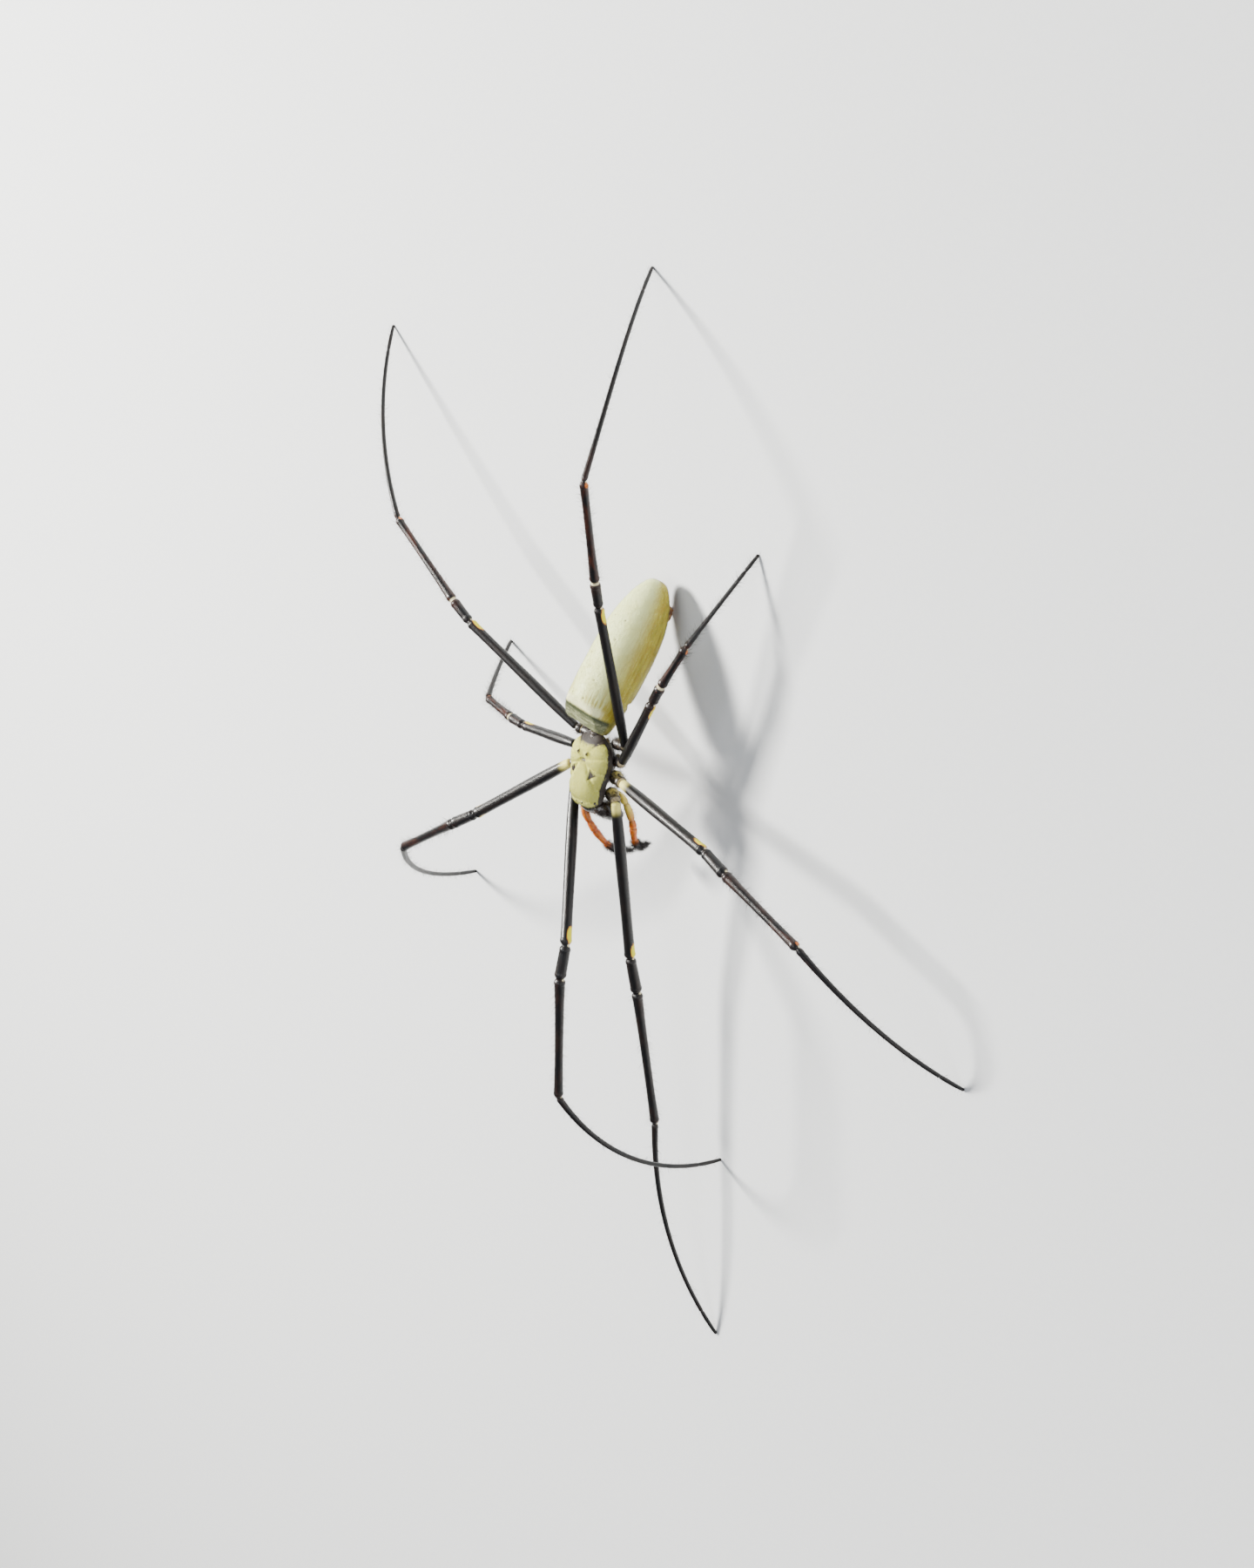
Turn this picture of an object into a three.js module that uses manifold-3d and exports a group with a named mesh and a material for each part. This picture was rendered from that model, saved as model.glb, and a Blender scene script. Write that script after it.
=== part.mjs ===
// A golden silk orb weaver, female, life size, standing on the tips of its eight legs.
// Millimetres, +Z up. The head looks toward -Y and the animal's left side is +X.
// The origin is the middle of the model's box, on the plane that the feet stand on.
import * as THREE from 'three';
import { mergeVertices } from 'three/addons/utils/BufferGeometryUtils.js';
import Module from 'manifold-3d';

const wasm = await Module();
wasm.setup();

// Stance of the body: height of its middle, and how it pitches, leans and turns in degrees.
const BODY_HEIGHT = 15;
const BODY_PITCH = 12;
const BODY_LEAN = 3;
const BODY_TURN = -13;

// Body sizes
const CARAPACE_FRONT = -6.3;
const CARAPACE_LENGTH = 11.4;
const CARAPACE_WIDTH = 8.8;
const CARAPACE_HEIGHT = 3;
const CARAPACE_TOP = [0.7, 0.96, 0.95, 0.82, 0.8, 0.66, 0.4];
const STERNUM_LENGTH = 7.6;
const STERNUM_WIDTH = 3.8;
const ABDOMEN_LENGTH = 24.6;
const ABDOMEN_WIDTH = 9.3;
const ABDOMEN_HEIGHT = 9.6;
const ABDOMEN_FRONT = new THREE.Vector3(1.7, 6.45, 15.95);
const ABDOMEN_AIM = { around: 159, up: -32.8 };

// The front of the abdomen's back slopes down to the waist: its height at the very front,
// how steeply it rises, and how softly it turns into the back.
const FRONT_SLOPE = { height: 1.3, rise: 1.05, soft: 0.5 };
const PEDICEL_RADIUS = 0.8;
const EYE_RADIUS = 0.27;
const CHELICERA_RADIUS = 1.4;
const FANG_RADIUS = 0.28;
const PALP_RADIUS = 0.6;
const SPINNERET_LENGTH = 0.9;
const SPINNERET_LEAN = 0.6;

// Leg pairs from the front to the back. The hip is where the femur starts, in the body's frame.
const PAIRS = [
  { root: [2.4, -3.9, -1.9], hip: [5, -4.7, -0.9], femur: 27.4, patella: 6, tibia: 22.6, metatarsus: 35, tarsus: 5 },
  { root: [2.7, -1.3, -2], hip: [6.1, -1.5, -0.8], femur: 23, patella: 5.6, tibia: 17.8, metatarsus: 28.6, tarsus: 4.6 },
  { root: [2.7, 1.3, -2], hip: [5.6, 1.5, -0.8], femur: 13.6, patella: 3.8, tibia: 8.3, metatarsus: 14.4, tarsus: 3.2 },
  { root: [2.3, 3.8, -1.9], hip: [5.8, 4.2, -0.9], femur: 26.1, patella: 4.8, tibia: 18.2, metatarsus: 32, tarsus: 4.9 },
];

// How each leg is held. Each aim is [around, up] in degrees: around runs from straight ahead
// toward the leg's own side and on to the back, and up is above the floor.
// The metatarsus and tarsus are one even curve from the aim "shin" to the aim "toe".
const STANCES = {
  left: [
    { femur: [-21, -7], patella: [-14, -8], tibia: [-14, -5], shin: [-17, 3], toe: [-3, -25], reach: 1.08 },
    { femur: [68, 5], patella: [57, 4], tibia: [57, 1], shin: [29, -15], toe: [14, -47], reach: 1 },
    { femur: [135, -5], patella: [134, -5], tibia: [134, -12], shin: [142, -32], toe: [148, -40], reach: 1 },
    { femur: [158, 13], patella: [153, 14], tibia: [153, 12], shin: [175, -32], toe: [215, -50], reach: 1 },
  ],
  right: [
    { femur: [-15, 26], patella: [18, 13], tibia: [18, 2], shin: [0, -24], toe: [13, -85], reach: 0.93 },
    { femur: [69, 17], patella: [73, 13], tibia: [73, 1], shin: [54, -21], toe: [56, -72], reach: 1 },
    { femur: [100, 1], patella: [107, -3], tibia: [107, -9], shin: [116, -44], toe: [122, -51], reach: 1 },
    { femur: [131, 7], patella: [136, 2], tibia: [136, -2], shin: [146, -14], toe: [156, -38], reach: 1 },
  ],
};

// Thickness of the leg pieces as radii at even steps from root to tip. The rear pairs are slimmer.
const RADII = {
  coxa: [0.8, 1.05, 1.12, 1, 0.84, 0.95, 0.82],
  femur: [0.74, 0.9, 0.92, 0.87, 0.84, 0.88],
  patella: [0.82, 0.88, 0.9],
  tibia: [0.86, 0.72, 0.67, 0.66, 0.74],
  metatarsus: [0.54, 0.48, 0.43, 0.41, 0.39, 0.37, 0.36, 0.35, 0.34],
  tarsus: [0.32, 0.34, 0.31, 0.26],
};
const SLIM = [1, 1, 0.88, 0.87];
const LEG_SIDES = 10;
const TOE_SIDES = 8;

// Clearance between neighbouring pieces, the blunt ends of a leg piece, and how much of its
// radius a toe's last ring stands above the floor that cuts it to a small flat.
const GAP = 0.3;
const BLUNTNESS = 0.6;
const TOE_STAND = 0.8;

const UP = new THREE.Vector3(0, 1, 0);
const { lerp, clamp } = THREE.MathUtils;
const rad = THREE.MathUtils.degToRad;

const material = (color, roughness) => new THREE.MeshStandardMaterial({ color, roughness, metalness: 0 });
const materials = {
  carapace: material(0xcdb26a, 0.6),
  underside: material(0x2a1d14, 0.55),
  abdomen: material(0xd8cf8e, 0.5),
  spinneret: material(0x6b4425, 0.6),
  jaw: material(0x15100d, 0.25),
  palp: material(0xc9541d, 0.5),
  leg: material(0x17130f, 0.4),
};

// Unit vector of an aim on one side of the animal.
function direction(side, around, up) {
  const flat = Math.cos(rad(up));
  const x = Math.sin(rad(around)) * flat;
  return new THREE.Vector3(side === 'left' ? x : -x, -Math.cos(rad(around)) * flat, Math.sin(rad(up)));
}

// Smooth value at t between evenly spaced numbers.
function along(values, t) {
  const place = clamp(t, 0, 1) * (values.length - 1);
  const i = Math.min(Math.floor(place), values.length - 2);
  const before = values[Math.max(i - 1, 0)];
  const after = values[Math.min(i + 2, values.length - 1)];
  const f = place - i;
  const [a, b] = [values[i], values[i + 1]];
  const [ma, mb] = [(b - before) / 2, (after - a) / 2];
  return a + f * (ma + f * (3 * (b - a) - 2 * ma - mb + f * (2 * (a - b) + ma + mb)));
}

// Drops normals and texture places and joins equal corners, so that the mesh is closed.
function welded(geometry) {
  geometry.deleteAttribute('normal');
  geometry.deleteAttribute('uv');
  return mergeVertices(geometry, 1e-5);
}

function toSolid(geometry) {
  const mesh = welded(geometry.clone());
  return new wasm.Manifold(new wasm.Mesh({
    numProp: 3,
    vertProperties: new Float32Array(mesh.attributes.position.array),
    triVerts: new Uint32Array(mesh.index.array),
  }));
}

// The largest closed surface of a solid, as a geometry.
function toGeometry(solid) {
  const pieces = solid.decompose();
  const largest = pieces.reduce((best, piece) => (piece.volume() > best.volume() ? piece : best));
  const mesh = largest.getMesh();
  const geometry = new THREE.BufferGeometry();
  geometry.setAttribute('position', new THREE.BufferAttribute(mesh.vertProperties, 3));
  geometry.setIndex(new THREE.BufferAttribute(mesh.triVerts, 1));
  geometry.computeVertexNormals();
  return geometry;
}

function addMesh(group, name, geometry, look) {
  const mesh = new THREE.Mesh(geometry, look);
  mesh.name = name;
  group.add(mesh);
  return mesh;
}

// Profile of a leg piece from the axis, up its side and back to the axis. Its ends are half
// ellipses whose middles lie the given distances in from the two joints.
function limbProfile(length, radii, endIn, endOut) {
  const points = [];
  const quarter = [0, 0.5, 1];
  for (const step of quarter) {
    const angle = (step * Math.PI) / 2;
    const y = endIn - Math.cos(angle) * BLUNTNESS * radii[0];
    points.push(new THREE.Vector2(Math.sin(angle) * radii[0], y));
  }
  for (let i = 1; i < radii.length - 1; i++) {
    points.push(new THREE.Vector2(radii[i], lerp(endIn, length - endOut, i / (radii.length - 1))));
  }
  const last = radii[radii.length - 1];
  for (const step of quarter.toReversed()) {
    const angle = (step * Math.PI) / 2;
    const y = length - endOut + Math.cos(angle) * BLUNTNESS * last;
    points.push(new THREE.Vector2(step === 0 ? 0 : Math.sin(angle) * last, y));
  }
  points[0].x = 0;
  return points;
}

// How far from a joint a piece's end must stop, so that two pieces bent there by an angle
// both keep clear of the plane that halves the bend.
function endAt(radius, bend) {
  const half = bend / 2;
  const reach = Math.hypot(BLUNTNESS * radius * Math.cos(half), radius * Math.sin(half));
  return (reach + GAP / 2) / Math.cos(half);
}

function straightLimb(from, aim, length, radii, bendIn, bendOut) {
  const last = radii[radii.length - 1];
  const profile = limbProfile(length, radii, endAt(radii[0], bendIn), endAt(last, bendOut));
  const geometry = welded(new THREE.LatheGeometry(profile, LEG_SIDES));
  const place = new THREE.Object3D();
  place.position.copy(from);
  place.quaternion.setFromUnitVectors(UP, aim);
  return { geometry, place };
}

// Bends a straight piece, turned round the Y axis, along a curve. Its rings sit on a curve of
// the same length, and the result is measured from the curve's start.
function bendAlong(geometry, curve, length) {
  const steps = 60;
  const frames = curve.computeFrenetFrames(steps, false);
  const position = geometry.attributes.position;
  const start = curve.getPointAt(0);
  for (let i = 0; i < position.count; i++) {
    const y = position.getY(i);
    const t = clamp(y / length, 0, 1);
    const k = Math.round(t * steps);
    const point = curve.getPointAt(t).sub(start);
    point.addScaledVector(frames.normals[k], position.getX(i));
    point.addScaledVector(frames.binormals[k], -position.getZ(i));
    point.addScaledVector(frames.tangents[k], y - t * length);
    position.setXYZ(i, point.x, point.y, point.z);
  }
  return geometry;
}

// The path of the end of a leg: its heading turns evenly from one aim to another.
class TurningCurve extends THREE.Curve {
  constructor(start, side, from, to, length) {
    super();
    Object.assign(this, { start, side, from, to, length });
  }

  aimAt(t) {
    return direction(this.side, lerp(this.from[0], this.to[0], t), lerp(this.from[1], this.to[1], t));
  }

  getPoint(t, target = new THREE.Vector3()) {
    const steps = 24;
    target.copy(this.start);
    for (let i = 0; i < steps; i++) {
      target.addScaledVector(this.aimAt((t * (i + 0.5)) / steps), (t * this.length) / steps);
    }
    return target;
  }
}

// A part of another curve, between two distances along it.
class CurveStretch extends THREE.Curve {
  constructor(whole, from, to) {
    super();
    Object.assign(this, { whole, from, to });
  }

  getPoint(t, target = new THREE.Vector3()) {
    return this.whole.getPoint(lerp(this.from, this.to, t), target);
  }
}

// Pitches the end of a leg up or down until its blunt tip, of a given radius, stands on the floor.
function settledCurve(start, side, stance, length, radius) {
  let [low, high] = [-25, 25];
  let curve;
  for (let i = 0; i < 40; i++) {
    const tilt = (low + high) / 2;
    const shin = [stance.shin[0], stance.shin[1] + tilt];
    const toe = [stance.toe[0], stance.toe[1] + tilt];
    curve = new TurningCurve(start, side, shin, toe, length);
    const height = TOE_STAND * Math.cos(rad(toe[1])) + BLUNTNESS * Math.sin(rad(toe[1]));
    if (curve.getPoint(1).z > height * radius) high = tilt;
    else low = tilt;
  }
  return curve;
}

// Cuts away what lies below the floor, from a piece measured from a point above it.
function cutAtFloor(geometry, heightOfStart) {
  const size = 40;
  const slab = new THREE.BoxGeometry(size, size, size);
  slab.translate(0, 0, -heightOfStart - size / 2);
  return toGeometry(toSolid(geometry).subtract(toSolid(slab)));
}

function bentLimb(curve, length, radii, endIn, endOut, sides) {
  const profile = limbProfile(length, radii, endIn, endOut);
  return bendAlong(welded(new THREE.LatheGeometry(profile, sides)), curve, length);
}

// The smaller of two numbers, with a soft change from one to the other.
function softMin(a, b, soft) {
  return (a + b - Math.hypot(a - b, soft)) / 2;
}

// A closed body of rings set along Y, close together near both ends. Its half width, top and
// underside follow evenly spaced numbers from front to back, and its ends close as
// superellipses of the given powers. A slope can cut the front of the upper side.
function ringBody({ length, width, top, bottom, ends, square, sides, rings, slope, grow = 0 }) {
  const geometry = welded(new THREE.SphereGeometry(1, sides, rings));
  const position = geometry.attributes.position;
  for (let i = 0; i < position.count; i++) {
    const t = clamp((1 + position.getY(i)) / 2, 0, 1);
    const angle = Math.atan2(position.getZ(i), position.getX(i));
    const fromMiddle = 2 * t - 1;
    const power = fromMiddle < 0 ? ends[0] : ends[1];
    const closing = (1 - Math.abs(fromMiddle) ** power) ** (1 / power);
    const [c, s] = [Math.cos(angle), Math.sin(angle)];
    const edge = (Math.abs(c) ** square + Math.abs(s) ** square) ** (-1 / square);
    const half = along(width, t) * closing + grow * Math.min(1, closing * 3);
    const height = along(s > 0 ? top : bottom, t) * closing + grow * Math.min(1, closing * 3);
    const atPole = Math.hypot(position.getX(i), position.getZ(i)) < 1e-4;
    const y = (length / 2 + grow) * fromMiddle;
    let z = height * s * edge;
    if (slope && s > 0) {
      const limit = slope.height + slope.rise * (y + length / 2) + grow * Math.hypot(1, slope.rise);
      z = softMin(z, limit, slope.soft);
    }
    if (atPole) position.setXYZ(i, 0, y, 0);
    else position.setXYZ(i, half * c * edge, y, z);
  }
  return geometry;
}

// The shield over the head and thorax: a narrow raised head, then a wide low thorax.
function carapaceShape(grow = 0) {
  const half = CARAPACE_WIDTH / 2;
  const geometry = ringBody({
    length: CARAPACE_LENGTH,
    width: [0.72, 0.76, 0.8, 0.92, 1, 0.94, 0.7].map((part) => part * half),
    top: CARAPACE_TOP.map((part) => part * CARAPACE_HEIGHT),
    bottom: [0.9, 0.5, 0.4, 0.35, 0.35, 0.35, 0.4],
    ends: [5, 3],
    square: 2.2,
    sides: 28,
    rings: 22,
    grow,
  });
  geometry.translate(0, CARAPACE_FRONT + CARAPACE_LENGTH / 2, 0);
  return geometry;
}

// Middle line of the carapace's top at a distance along Y.
function carapaceTop(y) {
  return along(CARAPACE_TOP, (y - CARAPACE_FRONT) / CARAPACE_LENGTH) * CARAPACE_HEIGHT;
}

function ball(radius, x, y, z, stretch = [1, 1, 1]) {
  const geometry = new THREE.SphereGeometry(radius, 10, 7);
  geometry.scale(...stretch);
  geometry.translate(x, y, z);
  return toSolid(geometry);
}

// The eight eyes in two rows of four, and the two humps of the thorax.
function carapace() {
  let solid = toSolid(carapaceShape());
  const front = CARAPACE_FRONT;
  for (const side of [-1, 1]) {
    const eyes = [
      [0.55, front + 0.12, 1.15, 1],
      [0.62, front + 0.5, 1.95, 1],
      [2.45, front + 0.45, 0.7, 0.85],
      [2.6, front + 0.75, 1.15, 0.85],
    ];
    for (const [x, y, z, size] of eyes) solid = solid.add(ball(EYE_RADIUS * size, side * x, y, z));
    const hump = ball(0.42, side * 0.95, 1.9, carapaceTop(1.9) + 0.05, [1, 1, 1.4]);
    solid = solid.add(hump);
  }
  return toGeometry(solid);
}

function sternum() {
  const half = STERNUM_WIDTH / 2;
  const geometry = ringBody({
    length: STERNUM_LENGTH,
    width: [0.7, 0.92, 1, 0.9, 0.45].map((part) => part * half),
    top: [0.5, 0.9, 1, 0.9, 0.5],
    bottom: [0.4, 0.6, 0.75, 0.6, 0.3],
    ends: [3, 2.2],
    square: 2.4,
    sides: 16,
    rings: 12,
  });
  geometry.translate(0, 0.1, -2.3);
  return geometry;
}

// The long abdomen: a broad square front over the waist, then a slowly narrowing barrel.
function abdomenShape(grow = 0) {
  const [half, high] = [ABDOMEN_WIDTH / 2, ABDOMEN_HEIGHT / 2];
  const geometry = ringBody({
    length: ABDOMEN_LENGTH,
    width: [0.96, 0.98, 1, 1, 0.98, 0.9, 0.76, 0.58].map((part) => part * half),
    top: [0.94, 1, 1, 0.98, 0.94, 0.86, 0.74, 0.6].map((part) => part * high),
    bottom: [0.55, 0.78, 0.94, 1, 1, 0.96, 0.84, 0.6].map((part) => part * high),
    ends: [16, 3.4],
    square: 2.1,
    sides: 28,
    rings: 26,
    slope: FRONT_SLOPE,
    grow,
  });
  geometry.translate(0, ABDOMEN_LENGTH / 2, 0);
  return geometry;
}

// Six blunt spinnerets on a low collar, under the rear of the abdomen and clear of its skin.
function spinnerets() {
  const back = ABDOMEN_LENGTH * 0.82;
  const under = -ABDOMEN_HEIGHT * 0.42;
  let solid = ball(1.55, 0, back, under + 0.15, [1, 1.05, 0.6]);
  const places = [
    [0.62, -0.55, 0.42, 1],
    [0.3, 0.1, 0.28, 0.75],
    [0.6, 0.75, 0.36, 0.95],
  ];
  for (const side of [-1, 1]) {
    for (const [x, y, radius, size] of places) {
      const length = SPINNERET_LENGTH * size;
      const cone = new THREE.CylinderGeometry(radius * 0.45, radius, length, 9);
      cone.rotateX(-Math.PI / 2 + SPINNERET_LEAN - y * 0.35);
      cone.translate(side * x, back + y + length * 0.15, under - 0.3 - length * 0.25);
      solid = solid.add(toSolid(cone));
    }
  }
  return toGeometry(solid.subtract(toSolid(abdomenShape(GAP))));
}

// One jaw: a stout base hung under the front edge of the head, and its folded fang.
function chelicera(side) {
  const profile = limbProfile(5.4, [0.7, 0.98, 1, 0.9, 0.66].map((part) => part * CHELICERA_RADIUS), 0.5, 0.5);
  const base = new THREE.LatheGeometry(profile, 14);
  const top = new THREE.Vector3(side * 1.57, -6.25, -0.1);
  const aim = new THREE.Vector3(side * 0.01, -0.42, -1).normalize();
  const place = new THREE.Matrix4().compose(
    top,
    new THREE.Quaternion().setFromUnitVectors(UP, aim),
    new THREE.Vector3(1, 1, 1),
  );
  base.applyMatrix4(place);
  const fangPath = new THREE.CatmullRomCurve3([
    new THREE.Vector3(side * 1.8, -8.3, -4.6),
    new THREE.Vector3(side * 1.65, -8.45, -5.45),
    new THREE.Vector3(side * 1.05, -8, -5.8),
    new THREE.Vector3(side * 0.45, -7.4, -5.6),
  ]);
  const fangLength = fangPath.getLength();
  const fang = bentLimb(fangPath, fangLength, [1, 0.95, 0.7, 0.35].map((part) => part * FANG_RADIUS), 0.1, 0.1, 8);
  fang.translate(...fangPath.getPoint(0).toArray());
  const solid = toSolid(base).add(toSolid(fang));
  return toGeometry(solid.subtract(toSolid(carapaceShape(GAP))));
}

// The palps, from the mouth, past the outside of the jaws, and down in front of them.
const PALP_PATHS = {
  left: [[1.7, -4.4, -3.4], [3.9, -5.2, -3.6], [3.9, -8.8, -5.7], [3.5, -12, -7], [3, -13.3, -8.4], [2.6, -13.3, -10.9]],
  right: [[1.7, -4.4, -3.4], [3.9, -5.6, -3], [3.9, -8.6, -2.6], [3.2, -11, -3.6], [2.5, -13.8, -6], [2, -15, -7.6], [1.6, -15.7, -11.6]],
};
const PALP_THICKNESS = [0.85, 1.1, 1, 0.85, 1, 1.02, 0.86, 1, 1, 0.82, 0.92, 0.94, 0.84, 0.66, 0.42];

function palp(side) {
  const mirror = side === 'left' ? 1 : -1;
  const points = PALP_PATHS[side].map(([x, y, z]) => new THREE.Vector3(mirror * x, y, z));
  const path = new THREE.CatmullRomCurve3(points, false, 'centripetal');
  const radii = PALP_THICKNESS.map((part) => part * PALP_RADIUS);
  const geometry = bentLimb(path, path.getLength(), radii, 0.2, 0.15, LEG_SIDES);
  geometry.translate(...points[0].toArray());
  return geometry;
}

const spider = new THREE.Group();
const body = new THREE.Group();
body.position.z = BODY_HEIGHT;
body.rotation.set(-rad(BODY_PITCH), rad(BODY_LEAN), rad(BODY_TURN), 'ZXY');
spider.add(body);
spider.updateMatrixWorld(true);

addMesh(body, 'carapace', carapace(), materials.carapace);
addMesh(body, 'sternum', sternum(), materials.underside);
for (const side of ['left', 'right']) {
  addMesh(body, `${side}_chelicera`, chelicera(side === 'left' ? 1 : -1), materials.jaw);
  addMesh(body, `${side}_palp`, palp(side), materials.palp);
}

// The abdomen has its own frame, with Y along it from front to back and Z to its upper side.
const abdomenGroup = new THREE.Group();
abdomenGroup.position.copy(ABDOMEN_FRONT);
abdomenGroup.rotation.set(rad(ABDOMEN_AIM.up), 0, rad(ABDOMEN_AIM.around - 180), 'ZXY');
spider.add(abdomenGroup);
spider.updateMatrixWorld(true);
addMesh(abdomenGroup, 'abdomen', abdomenShape(), materials.abdomen);
addMesh(abdomenGroup, 'spinnerets', spinnerets(), materials.spinneret);

// The waist runs from inside the carapace's rear to inside the abdomen's front, cut clear of both.
function pedicel() {
  const from = new THREE.Vector3(0, CARAPACE_FRONT + CARAPACE_LENGTH - 1.4, 0.3).applyMatrix4(body.matrixWorld);
  const to = new THREE.Vector3(0, 1.6, -1.4).applyMatrix4(abdomenGroup.matrixWorld);
  const path = new THREE.LineCurve3(from, to);
  const length = path.getLength();
  const rod = bentLimb(path, length, [1.1, 0.9, 0.85, 1, 1.1].map((part) => part * PEDICEL_RADIUS), 0.1, 0.1, 12);
  rod.translate(...from.toArray());
  const shield = carapaceShape(GAP).applyMatrix4(body.matrixWorld);
  const barrel = abdomenShape(GAP).applyMatrix4(abdomenGroup.matrixWorld);
  return toGeometry(toSolid(rod).subtract(toSolid(shield)).subtract(toSolid(barrel)));
}
addMesh(spider, 'pedicel', pedicel(), materials.underside);

// One whole leg: its root piece rides in the body's frame, and the rest is aimed in the world.
function addLeg(side, number) {
  const pair = PAIRS[number];
  const stance = STANCES[side][number];
  const label = `${side}_leg_${number + 1}`;
  const mirror = side === 'left' ? 1 : -1;
  const thick = (part) => RADII[part].map((radius) => radius * SLIM[number]);
  const inWorld = ([x, y, z]) => new THREE.Vector3(mirror * x, y, z).applyMatrix4(body.matrixWorld);
  const root = inWorld(pair.root);
  const hip = inWorld(pair.hip);
  const parts = [{ name: 'coxa', from: root, aim: hip.clone().sub(root).normalize(), length: hip.distanceTo(root) }];
  let from = hip;
  for (const name of ['femur', 'patella', 'tibia']) {
    const aim = direction(side, ...stance[name]);
    const length = pair[name] * stance.reach;
    parts.push({ name, from, aim, length });
    from = from.clone().addScaledVector(aim, length);
  }
  const shinLength = pair.metatarsus * stance.reach;
  const toeLength = pair.tarsus * stance.reach;
  const toeRadii = thick('tarsus');
  const lastRadius = toeRadii[toeRadii.length - 1];
  const curve = settledCurve(from, side, stance, shinLength + toeLength, lastRadius);
  const aims = [...parts.map((part) => part.aim), curve.aimAt(0)];

  parts.forEach((part, i) => {
    const bendIn = i === 0 ? 0 : aims[i].angleTo(aims[i - 1]);
    const bendOut = aims[i].angleTo(aims[i + 1]);
    const { geometry, place } = straightLimb(part.from, part.aim, part.length, thick(part.name), bendIn, bendOut);
    const mesh = addMesh(spider, `${label}_${part.name}`, geometry, materials.leg);
    mesh.position.copy(place.position);
    mesh.quaternion.copy(place.quaternion);
  });

  const split = shinLength / (shinLength + toeLength);
  const bends = [aims[aims.length - 1].angleTo(aims[aims.length - 2]), 0];
  const shinRadii = thick('metatarsus');
  const shin = bentLimb(
    new CurveStretch(curve, 0, split), shinLength, shinRadii,
    endAt(shinRadii[0], bends[0]), endAt(shinRadii[shinRadii.length - 1], bends[1]), TOE_SIDES,
  );
  addMesh(spider, `${label}_metatarsus`, shin, materials.leg).position.copy(from);
  const ankle = curve.getPoint(split);
  const toe = bentLimb(
    new CurveStretch(curve, split, 1), toeLength, toeRadii,
    endAt(toeRadii[0], 0), lastRadius * BLUNTNESS, TOE_SIDES,
  );
  const standing = cutAtFloor(toe, ankle.z);
  addMesh(spider, `${label}_tarsus`, standing, materials.leg).position.copy(ankle);
}

for (let number = 0; number < PAIRS.length; number++) {
  addLeg('left', number);
  addLeg('right', number);
}

// Moves the model so that its box stands on the origin.
spider.updateMatrixWorld(true);
const box = new THREE.Box3().setFromObject(spider, true);
const middle = box.getCenter(new THREE.Vector3());
spider.position.set(-middle.x, -middle.y, -box.min.z);

export default spider;
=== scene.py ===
# %% [markdown]
# A golden silk orb weaver, built life size. The real animal is a hard, jointed shell with
# a soft bag behind it: a low shield over the head and thorax, eight long thin legs that end
# in curved toes, two palps and two jaws in front, and a long pale abdomen. Each of these is
# a surface worked out with numpy from a few sizes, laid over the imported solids, and each
# gets its own finish and its own bristles.

import math

import bpy
import numpy as np
from mathutils import Matrix, Vector


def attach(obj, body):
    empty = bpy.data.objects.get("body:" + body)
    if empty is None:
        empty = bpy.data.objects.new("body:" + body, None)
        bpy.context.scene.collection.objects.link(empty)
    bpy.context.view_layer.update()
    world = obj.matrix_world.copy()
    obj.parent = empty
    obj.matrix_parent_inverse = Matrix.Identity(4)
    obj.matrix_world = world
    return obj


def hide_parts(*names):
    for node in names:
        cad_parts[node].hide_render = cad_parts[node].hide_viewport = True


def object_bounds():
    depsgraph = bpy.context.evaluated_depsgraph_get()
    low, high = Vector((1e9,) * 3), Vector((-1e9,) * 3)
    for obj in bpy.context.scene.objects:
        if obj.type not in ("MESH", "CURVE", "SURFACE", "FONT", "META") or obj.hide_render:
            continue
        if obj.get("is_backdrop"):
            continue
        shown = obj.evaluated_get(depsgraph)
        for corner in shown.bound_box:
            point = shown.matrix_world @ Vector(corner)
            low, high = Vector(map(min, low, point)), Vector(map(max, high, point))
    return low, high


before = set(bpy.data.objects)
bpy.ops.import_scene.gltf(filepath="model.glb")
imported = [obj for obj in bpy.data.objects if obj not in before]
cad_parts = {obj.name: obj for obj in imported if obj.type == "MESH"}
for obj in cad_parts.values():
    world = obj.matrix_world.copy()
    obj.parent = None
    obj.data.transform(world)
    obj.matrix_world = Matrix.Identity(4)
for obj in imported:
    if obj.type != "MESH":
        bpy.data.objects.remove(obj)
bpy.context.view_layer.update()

# %% [markdown]
# All sizes below are millimetres in the animal's own place: x to its left, y to its rear,
# z up from the floor, with the middle of its thorax over the origin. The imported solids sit
# a little aside from that, because their origin is the middle of their box.

# %% Millimetres, and the way from the animal's own place to the frame
MM = 0.001
mirrors = {"left": 1, "right": -1}
shift = np.array([5.198, 15.764, 0])
body_height = 15
body_pitch = 12
body_lean = 3
body_turn = -13
abdomen_front = np.array([1.7, 6.45, 15.95])
abdomen_around = 159
abdomen_up = -32.8


def turned(axis, degrees):
    """The matrix that turns points about one axis by an angle, counted by the right-hand rule."""
    return np.array(Matrix.Rotation(math.radians(degrees), 3, axis))


class Place:
    """Where a part of the body is: a turn, then a step. It carries points and directions."""

    def __init__(self, turn, step):
        self.turn = turn
        self.step = np.asarray(step, float)

    def points(self, local):
        return np.asarray(local, float) @ self.turn.T + self.step

    def directions(self, local):
        return np.asarray(local, float) @ self.turn.T


def mirrored(local, side):
    """Points given for the left side, carried over to the named one."""
    return np.array(local, float) * [mirrors[side], 1, 1]


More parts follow.
